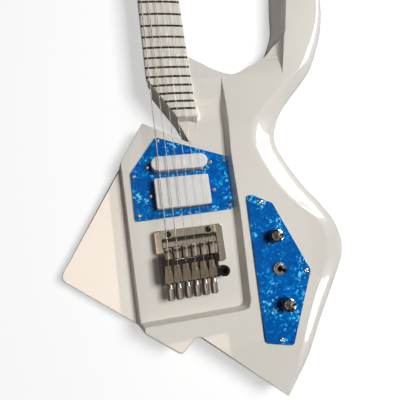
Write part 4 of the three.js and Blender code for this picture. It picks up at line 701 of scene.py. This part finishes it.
half_round = np.linspace(0, math.pi, 9)
fret_across = np.append(np.cos(half_round), (-1, 1)) * FRET_WIDTH / 2
fret_up = np.append(np.sin(half_round) * FRET_HEIGHT, (-FRET_SINK, -FRET_SINK))
# rings along a fret as shares of its length, and how full its section is there
fret_share = np.array((0, 0.012, *np.linspace(0.1, 0.9, 7), 0.988, 1))[:, None]
fret_full = np.array((0.55, *np.ones(9), 0.55))[:, None]
fret_parts = []
for number in range(1, FRETS + 1):
    y = SCALE * 2.0 ** (-number / 12)
    left, right = board_left(y) + FRET_SHORT[0], board_half(y) - FRET_SHORT[1]
    x = left + (right - left) * fret_share
    rows = np.stack(np.broadcast_arrays(x, y + fret_across, arch(x) + fret_up * fret_full), axis=2)
    fret_parts.append(skin(f"fret_{number}", rows))
with bpy.context.temp_override(active_object=fret_parts[0], selected_editable_objects=fret_parts):
    bpy.ops.object.join()
frets = shade(fret_parts[0], 50)
frets.name = "frets"
# the wire's near-black colour is painted reflection of a dark surround, darker than bright fret wire is
fret_metal_painted_dark = finish("fret wire, painted dark", (0.085, 0.068, 0.05), (0.055, 0.045, 0.035), 0.3, 0.42, metal=1.0,
                    scale=120, fine=900, stretch=(0.1, 1, 1))
dress(frets, fret_metal_painted_dark, "dark_steel")


# Nut and headpiece: a slotted bone bar at the end of the board, and behind it a nickel block whose
# screws clamp the plain ends of the strings.
bone = finish("bone", (0.80, 0.76, 0.66), (0.74, 0.69, 0.58), 0.3, 0.45, scale=180, stretch=(1, 0.3, 1))
nickel = finish("satin nickel", (0.36, 0.335, 0.27), (0.28, 0.26, 0.21), 0.2, 0.28, metal=1.0, scale=160,
                fine=1500, stretch=(1, 0.15, 1), bump=0.04)
fit("nut", "bone_nut", bone, "bone", 0.35)
fit("headpiece", "head_block", nickel, "satin_nickel", 0.4)


# Strings: six steel wires from the headpiece over the nut to the saddles and on to their jaws. The
# three bass ones are wound, and each bends down at its saddle towards its jaw.
STRING_RADII = (0.585, 0.455, 0.33, 0.215, 0.165, 0.127)
WOUND = 3
NUT_Z, SADDLE_Z, JAW_STRING_Z = 46.5, 49, 46.8
HEAD_Y, NUT_LEVEL, JAW_Y, JAW_SIDE, CLAMPED = 669.95, 4, -24.5, 0.6, 1.7
# each string's place counted from the middle of the neck, and where that puts it across the guitar
place_of = np.arange(6) - 2.5
nut_x, saddle_x, jaw_x = 7.06 * place_of, -1 + 10.44 * place_of, -4.6 + 9.9 * place_of
break_y = np.linspace(-6.2, -2.9, 6)


def tube(name, path, radius, sides=8):
    """A round wire carried along a path, each ring square to the way the path runs."""
    along = np.gradient(path, axis=0)
    along /= np.linalg.norm(along, axis=1, keepdims=True)
    side = np.cross(along, (0, 0, 1))
    side /= np.linalg.norm(side, axis=1, keepdims=True)
    up = np.cross(side, along)
    turn = np.linspace(0, 2 * math.pi, sides, endpoint=False)[None, :, None]
    return skin(name, path[:, None] + radius * (np.cos(turn) * side[:, None] + np.sin(turn) * up[:, None]))


plain_wire = finish("plain string", (0.55, 0.54, 0.51), (0.42, 0.41, 0.39), 0.28, 0.4, metal=1.0, scale=300)
wound_wire = finish("wound string", (0.42, 0.40, 0.36), (0.28, 0.26, 0.23), 0.3, 0.42, metal=1.0, scale=300)
winding = wound_wire.node_tree
winding_place = add_node(winding, "ShaderNodeTexCoord").outputs["Object"]
turns = add_node(winding, "ShaderNodeTexWave", [("Vector", winding_place), ("Scale", 900.0)],
                 bands_direction="Y")
add_relief(winding, 0.5, turns.outputs[1])
# rings along a string as shares of the way from the nut, close together where it bends
free_share = np.concatenate([np.linspace(0, 0.95, 20), np.linspace(0.955, 1, 25)])[:, None]
tail_share = np.linspace(0, 1, 8)[1:, None]
for number in range(6):
    nut = np.array((nut_x[number], SCALE, NUT_Z))
    saddle = np.array((saddle_x[number], break_y[number], SADDLE_Z))
    jaw = np.array((jaw_x[number] + JAW_SIDE, JAW_Y, JAW_STRING_Z))
    path = np.vstack([
        (nut_x[number], HEAD_Y, NUT_Z), nut + (0, NUT_LEVEL, 0), nut + (saddle - nut) * free_share,
        saddle + (jaw - saddle) * tail_share, jaw - (0, CLAMPED, 0)])
    string = tube(f"wire_{number + 1}", path, STRING_RADII[number])
    string.data.shade_smooth()
    string.data.materials.append(wound_wire if number < WOUND else plain_wire)
    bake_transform(string)
    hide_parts(f"string_{number + 1}")


# Screws: small steel screws, each turned with a domed head and a hexagon socket for a key. Five
# hold the scratchplate on the sunk panel, and three the control plate on the raised side.
DOME_ANGLE = 1.05


def socket_screw(name, x, y, seat, head, height, socket, depth, sides=24):
    """Rings from the rim of the head over its dome to a hexagon socket sunk in the middle; a ring
    of the socket reaches socket / cos of the angle from the middle of its nearest flat."""
    turn = np.linspace(0, 2 * math.pi, sides, endpoint=False)
    flat = socket / np.cos((turn + math.pi / 6) % (math.pi / 3) - math.pi / 6)
    dome = np.linspace(0, DOME_ANGLE, 6)
    radii = [np.full(sides, head * math.cos(a)) for a in (0, *dome)] + [flat, flat, flat * 0.05]
    heights = [seat] + [seat + height * (0.35 + 0.65 * math.sin(a) / math.sin(DOME_ANGLE)) for a in dome]
    heights += [seat + height, seat + height - depth, seat + height - depth * 1.15]
    rows = [np.column_stack([x + np.cos(turn) * r, y + np.sin(turn) * r, np.full(sides, z)])
            for r, z in zip(radii, heights)]
    return shade(skin(name, rows), 40)


bright = finish("polished steel", (0.62, 0.61, 0.58), (0.52, 0.50, 0.47), 0.1, 0.2, metal=1.0, scale=200,
                fine=900)
screw_steel = finish("screw steel", (0.36, 0.39, 0.40), (0.22, 0.24, 0.25), 0.28, 0.42, metal=1.0,
                     scale=500)
GUARD_SCREWS = shares([(-0.059, 0.211), (-0.142, 0.142), (-0.138, 0.064), (0.146, 0.160), (0.144, 0.066)])
PLATE_SCREWS = shares([(0.233, 0.061), (0.342, -0.085), (0.228, -0.205)])
GUARD_TOP, PLATE_TOP, SCREW_GAP = 32.5, 44.5, 0.12
# name, node, places, seat, radius and height of the head, half width and depth of the socket, steel
for name, node, places, seat, sizes, steel in (
        ("guard_screw", "pickguard_screw", GUARD_SCREWS, GUARD_TOP, (2.7, 1.5, 1.5, 1.2), screw_steel),
        ("control_screw", "plate_screw", PLATE_SCREWS, PLATE_TOP, (2.8, 1.7, 1.3, 1.1), bright)):
    for number, (x, y) in enumerate(places, 1):
        dress(socket_screw(f"{name}_{number}", x, y, seat + SCREW_GAP, *sizes), steel, "bright_steel",
              "guitar", f"{node}_{number}")


# Pickups: closed white covers, a pill and a rectangle, standing proud of the scratchplate, each
# hung on two height screws beside it.
COVER_LOW, COVER_TOP, COVER_ROUND = 21, 44.6, 1.4
EAR_LENGTH, EAR_WIDTH, EAR_TOP = 87, 9, 24
EAR_SCREW_X, EAR_SCREW_Z = 38.3, GUARD_TOP + 0.25


def covered(name, ring, low, high, round_by, steps=6):
    """An upright block over an outline with its top edge rolled over on a quarter circle."""
    rows = [level(ring, low)]
    for angle in np.linspace(0, math.pi / 2, steps):
        rows.append(level(pull_in(ring, round_by * (1 - math.cos(angle))),
                          high - round_by + round_by * math.sin(angle)))
    return skin(name, rows)


cover_white = finish("pickup cover", (0.80, 0.79, 0.775), (0.775, 0.765, 0.75), 0.28, 0.36, scale=60,
                     fine=700)
for label, y, ring, node in (
        ("pill", PILL_Y, oblong(-0.3, 95.7, 67.4, 17.5, 8.7, 16), "neck_pickup"),
        ("block", BLOCK_Y, oblong(-0.7, 60.5, 64.6, 36.4, 2.5, 6), "bridge_pickup")):
    cover = covered(f"{label}_cover", ring, COVER_LOW, COVER_TOP, COVER_ROUND)
    carve(cover, [slab("ears", oblong(0, y, EAR_LENGTH, EAR_WIDTH, 1, 2), COVER_LOW, EAR_TOP)], "UNION")
    dress(shade(cover, 40), cover_white, "pickup_white", "guitar", node)
    for side, x in (("bass", -EAR_SCREW_X), ("treble", EAR_SCREW_X)):
        dress(socket_screw(f"{label}_screw_{side}", x, y, EAR_SCREW_Z, 2.6, 1.6, 1.4, 1.2), screw_steel,
              "bright_steel")


# Plates: the scratchplate on the sunk panel and the control plate over its cavity, both sawn from
# blue pearl sheet with a bevelled rim, and screwed down.
# place of each stop on the ramp from dark pearl to bright flake, and its colour
PEARL_TONES = ((0.10, (0.0, 0.095, 0.40)), (0.32, (0.0, 0.125, 0.48)), (0.40, (0.0, 0.19, 0.61)),
               (0.47, (0.0, 0.34, 0.80)), (0.55, (0.16, 0.70, 0.96)))


def colour_ramp(tree, value, stops):
    """A ramp that turns a value into colours, from the place and the colour of each stop."""
    made = add_node(tree, "ShaderNodeValToRGB", [("Fac", value)])
    elements = made.color_ramp.elements
    elements.remove(elements[1])
    elements[0].position, elements[0].color = stops[0][0], (*stops[0][1], 1)
    for stop, colour in stops[1:]:
        elements.new(stop).color = (*colour, 1)
    return made.outputs[0]


pearl, pearl_tree, pearl_shader = new_material("blue pearl", {
    "Roughness": 0.22, "Specular IOR Level": 0.05, "Coat Weight": 0.03, "Coat Roughness": COAT_ROUGHNESS})
pearl_at = add_node(pearl_tree, "ShaderNodeTexCoord").outputs["Object"]
swirl = add_node(pearl_tree, "ShaderNodeTexNoise", [("Vector", pearl_at), ("Scale", 70.0), ("Detail", 3.0)])
bent = add_node(pearl_tree, "ShaderNodeMix", [("Factor", 0.01), (4, pearl_at),
                                              (5, swirl.outputs["Color"])], data_type="VECTOR")
flakes = add_node(pearl_tree, "ShaderNodeTexVoronoi", [("Vector", bent.outputs[1]), ("Scale", 430.0)])
flake_tone = add_node(pearl_tree, "ShaderNodeSeparateColor", [("Color", flakes.outputs["Color"])])
drift = add_node(pearl_tree, "ShaderNodeTexNoise", [("Vector", pearl_at), ("Scale", 60.0), ("Detail", 5.0)])
mixed = add_node(pearl_tree, "ShaderNodeMath", [(0, flake_tone.outputs[0]), (1, drift.outputs[0])],
                 operation="MULTIPLY")
pearl_tree.links.new(colour_ramp(pearl_tree, mixed.outputs[0], PEARL_TONES),
                     pearl_shader.inputs["Base Color"])
add_relief(pearl_tree, 0.03, drift.outputs[0])
fit("pickguard", "pearl_scratchplate", pearl, "pearl", 0.45)
fit("control_plate", "pearl_control_plate", pearl, "pearl", 0.45)


# Controls: two potentiometers under the plate with turned steel knobs, and a selector whose black
# bat lever stands in a nickel ring nut.
KNOB_PLACES = {"volume": shares((0.255, -0.009)), "tone": shares((0.257, -0.140))}
KNOB_LOW, KNOB_TOP = 45.1, 59.1
# radius of the small flat that closes a turned piece at its axis
POLE = 0.02
# radius and height, from the foot of the bore round the skirt to the middle of the top
KNOB_PROFILE = (
    (POLE, KNOB_LOW + 10), (3.9, KNOB_LOW + 10), (3.9, KNOB_LOW + 2.6), (6, KNOB_LOW + 2.6), (6, KNOB_LOW),
    (7.9, KNOB_LOW), (8.1, KNOB_LOW + 0.3), (7.85, KNOB_LOW + 5), (7.55, KNOB_TOP - 2),
    (7.35, KNOB_TOP - 1.3), (6.8, KNOB_TOP - 0.85), (5.6, KNOB_TOP - 0.5), (3.9, KNOB_TOP - 0.2),
    (1.9, KNOB_TOP - 0.05), (POLE, KNOB_TOP))
# turn round the knob as a share, and the brightness painted there: the bright wedges are painted
# reflections of lamps on spun metal, the dark ones painted shade
PAINTED_KNOB_GLINTS = (
    (0, 0.07), (0.18, 0.07), (0.24, 0.42), (0.29, 0.10), (0.35, 0.10), (0.375, 0.95), (0.445, 0.95),
    (0.47, 0.08), (0.53, 0.08), (0.555, 0.98), (0.67, 0.98), (0.70, 0.10), (0.84, 0.16), (0.92, 0.07),
    (1, 0.07))
painted_glint_tones = [(stop, (tone, tone * 0.95, tone * 0.86)) for stop, tone in PAINTED_KNOB_GLINTS]
for label, (x, y) in KNOB_PLACES.items():
    knob = shade(lathe(f"{label}_control", KNOB_PROFILE, (x, y, 0), "Z", 48), 40)
    spun = finish(f"spun steel, painted glints, {label}", (0.50, 0.47, 0.42), (0.36, 0.34, 0.30), 0.16, 0.26, metal=1.0,
                  scale=300)
    tree = spun.node_tree
    where = add_node(tree, "ShaderNodeTexCoord").outputs["Object"]
    centred = add_node(tree, "ShaderNodeVectorMath", [(0, where), (1, (x * MM, y * MM, 0))],
                       operation="SUBTRACT").outputs[0]
    grooves = add_node(tree, "ShaderNodeTexWave", [
        ("Vector", centred), ("Scale", 600.0), ("Distortion", 0.4)], wave_type="RINGS", rings_direction="Z")
    add_relief(tree, 0.15, grooves.outputs[1])
    # the knob's whole colour is this painted reflection: bright and dark wedges by the angle round its
    # middle
    around = add_node(tree, "ShaderNodeTexGradient", [("Vector", centred)], gradient_type="RADIAL")
    tree.links.new(colour_ramp(tree, around.outputs["Color"], painted_glint_tones),
                   tree.nodes["Principled BSDF"].inputs["Base Color"])
    dress(knob, spun, "bright_steel", label, f"{label}_knob")
    fit(f"{label}_pot", f"{label}_potentiometer", bright, "bright_steel", 0.3)

ring_nut = finish("ring nut", (0.40, 0.36, 0.28), (0.30, 0.26, 0.20), 0.2, 0.32, metal=1.0, scale=300)
black = finish("black plastic", (0.010, 0.010, 0.013), (0.015, 0.015, 0.017), 0.3, 0.42, coat=0.03,
               shine=0.06, scale=300, fine=900)
fit("switch_body", "selector", ring_nut, "satin_nickel", 0.35)
fit("switch_lever", "selector_lever", black, "black_plastic", 0.25, 2, 25, "selector")


# Jack and strap buttons: a steel barrel socket sunk in the lower edge for the lead's plug, and two
# turned steel buttons screwed into the horn and the tail.
for node, name in (("output_jack", "lead_socket"), ("strap_button_horn", "horn_button"),
                   ("strap_button_tail", "tail_button")):
    fit(node, name, bright, "bright_steel", 0.3, 2, 30)


# Bridge: a satin nickel frame screwed to the sunk panel, and a blackened steel carriage that rocks
# on a cross shaft in it against two coil springs underneath.
blacked = finish("blackened steel", (0.035, 0.034, 0.034), (0.02, 0.02, 0.021), 0.3, 0.45, metal=1.0,
                 scale=160)
fit("bridge_frame", "frame_casting", nickel, "satin_nickel", 0.45, 3)
fit("pivot_shaft", "cross_shaft", bright, "bright_steel", 0.3)
fit("carriage", "rocking_carriage", blacked, "dark_steel", 0.35, body_name="carriage")
fit("arm_socket", "arm_ring", black, "black_plastic", 0.4, body_name="carriage")
FRAME_BOLT_X, FRAME_BOLT_Y, FRAME_BOLT_SEAT = 23.6, 13.2, 36.17
for side, x in (("bass", -FRAME_BOLT_X), ("treble", FRAME_BOLT_X)):
    dress(socket_screw(f"frame_bolt_{side}", x, FRAME_BOLT_Y, FRAME_BOLT_SEAT, 3.6, 1.8, 1.7, 1.1), blacked,
          "dark_steel", "guitar", f"bridge_screw_{side}")
    coil = from_part(f"spring_{side}", f"coil_{side}", 0.1, 1)
    coil.data.materials.append(bright)
    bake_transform(coil)
    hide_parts(f"spring_{side}")
fit("truss_rod", "adjustment_rod", bright, "bright_steel", 0.4)

# nickel sheet over the front of the carriage, rolled round the cross shaft, and the rod behind the saddles
HUB_Y, HUB_Z, SHEET_R, SHEET_THICK = 3.05, 34.6, 5.25, 0.35
SHEET_SIDES, SHEET_REAR = (-31.2, 30.6), -1.6
ROD_LEFT, ROD_RIGHT, ROD_R, ROD_Y, ROD_Z = -31, 29.8, 0.5, -16.3, 39.4
arc = np.radians(np.linspace(12, 90, 12))
sheet_top, sheet_low = (
    np.vstack([np.column_stack([HUB_Y + np.cos(arc) * r, HUB_Z + np.sin(arc) * r]),
               (SHEET_REAR, HUB_Z + r)]) for r in (SHEET_R, SHEET_R - SHEET_THICK))
sheet = np.vstack([sheet_top, sheet_low[::-1]])
rolled = skin("rolled_sheet", [np.column_stack([np.full(len(sheet), x), sheet]) for x in SHEET_SIDES])
dress(shade(rolled, 40), nickel, "satin_nickel", "carriage")
rod_profile = [(POLE, ROD_LEFT), (ROD_R - 0.2, ROD_LEFT), (ROD_R, ROD_LEFT + 0.2), (ROD_R, ROD_RIGHT - 0.2),
               (ROD_R - 0.2, ROD_RIGHT), (POLE, ROD_RIGHT)]
rod = lathe("deck_rod", rod_profile, (0, ROD_Y, ROD_Z), "X", 12)
rod.data.shade_smooth()
dress(rod, bright, "bright_steel", "carriage")


# Saddles: six nickel blocks with two rounded fingers each, a roller under the string between them,
# and two socket screws that set the height.
SET_SCREW_X, SET_SCREW_TOP = 2.75, 49.66
saddle_nickel = finish("saddle nickel", (0.50, 0.46, 0.39), (0.36, 0.33, 0.28), 0.26, 0.36, metal=1.0,
                       scale=300, fine=1500, bump=0.06)
for number, (middle, y) in enumerate(zip(saddle_x, break_y), 1):
    fit(f"saddle_{number}", f"string_saddle_{number}", saddle_nickel, "satin_nickel", 0.2,
        body_name="carriage")
    for side, x in (("bass", -SET_SCREW_X), ("treble", SET_SCREW_X)):
        set_screw = socket_screw(f"set_screw_{number}_{side}", middle + x, y, SET_SCREW_TOP,
                                 1.45, 0.35, 0.95, 0.4, 18)
        dress(set_screw, blacked, "dark_steel", "carriage")


# Jaws and tuner knobs: six sliding nickel jaws clamp the strings, and each is drawn back by a
# knurled knob behind it, turned on a thread.
TUNER_R, COLLAR_R, STEM_R, TUNER_Z = 4.1, 3.3, 2.0, 43.4
STEM_END_Y, FRONT_Y, COLLAR_Y, KNOB_END_Y = -27.5, -42.3, -45.7, -59.3
KNURL_SIDES, KNURL_ROWS, KNURL_DEPTH = 96, 44, 0.14
KNURL_COUNT, KNURL_PITCH = 24, 1.1


def knurled_knob(name, x):
    """Rings round an axis along the strings. Over the grip the radius dips where two families of
    opposite spirals cross, by the smaller of two cosines of angle plus and minus distance."""
    grip = np.linspace(COLLAR_Y - 1.0, KNOB_END_Y + 0.9, KNURL_ROWS)
    radius, y = np.array([
        (POLE, STEM_END_Y), (STEM_R, STEM_END_Y), (STEM_R, FRONT_Y), (COLLAR_R - 0.2, FRONT_Y),
        (COLLAR_R, FRONT_Y - 0.2), (COLLAR_R, COLLAR_Y + 0.3), (COLLAR_R + 0.25, COLLAR_Y - 0.3),
        *((TUNER_R, place) for place in grip),
        (TUNER_R - 0.25, KNOB_END_Y + 0.45), (TUNER_R - 0.9, KNOB_END_Y), (POLE, KNOB_END_Y)]).T[:, :, None]
    turn = np.linspace(0, 2 * math.pi, KNURL_SIDES, endpoint=False)
    slant = math.pi * y / KNURL_PITCH
    ridge = np.minimum(np.cos(KNURL_COUNT * turn + slant), np.cos(KNURL_COUNT * turn - slant))
    reach = radius - np.where(radius == TUNER_R, KNURL_DEPTH * (0.5 - 0.5 * ridge), 0)
    wide, deep, tall = np.broadcast_arrays(x + np.cos(turn) * reach, y, TUNER_Z + np.sin(turn) * reach)
    return shade(skin(name, np.stack((wide, deep, tall), axis=2)), 60)


jaw_nickel = finish("jaw nickel", (0.24, 0.20, 0.155), (0.165, 0.135, 0.11), 0.16, 0.24, metal=1.0,
                    scale=200, fine=1500)
knurl_nickel = finish("knurled nickel", (0.30, 0.28, 0.25), (0.22, 0.20, 0.18), 0.3, 0.42, metal=1.0,
                      scale=200, fine=1500)
for number, x in enumerate(jaw_x, 1):
    fit(f"jaw_{number}", f"string_jaw_{number}", jaw_nickel, "satin_nickel", 0.35,
        body_name=f"jaw_block_{number}")
    dress(knurled_knob(f"tuner_{number}_knob", x), knurl_nickel, "satin_nickel", f"tuner_{number}",
          f"tuner_knob_{number}")
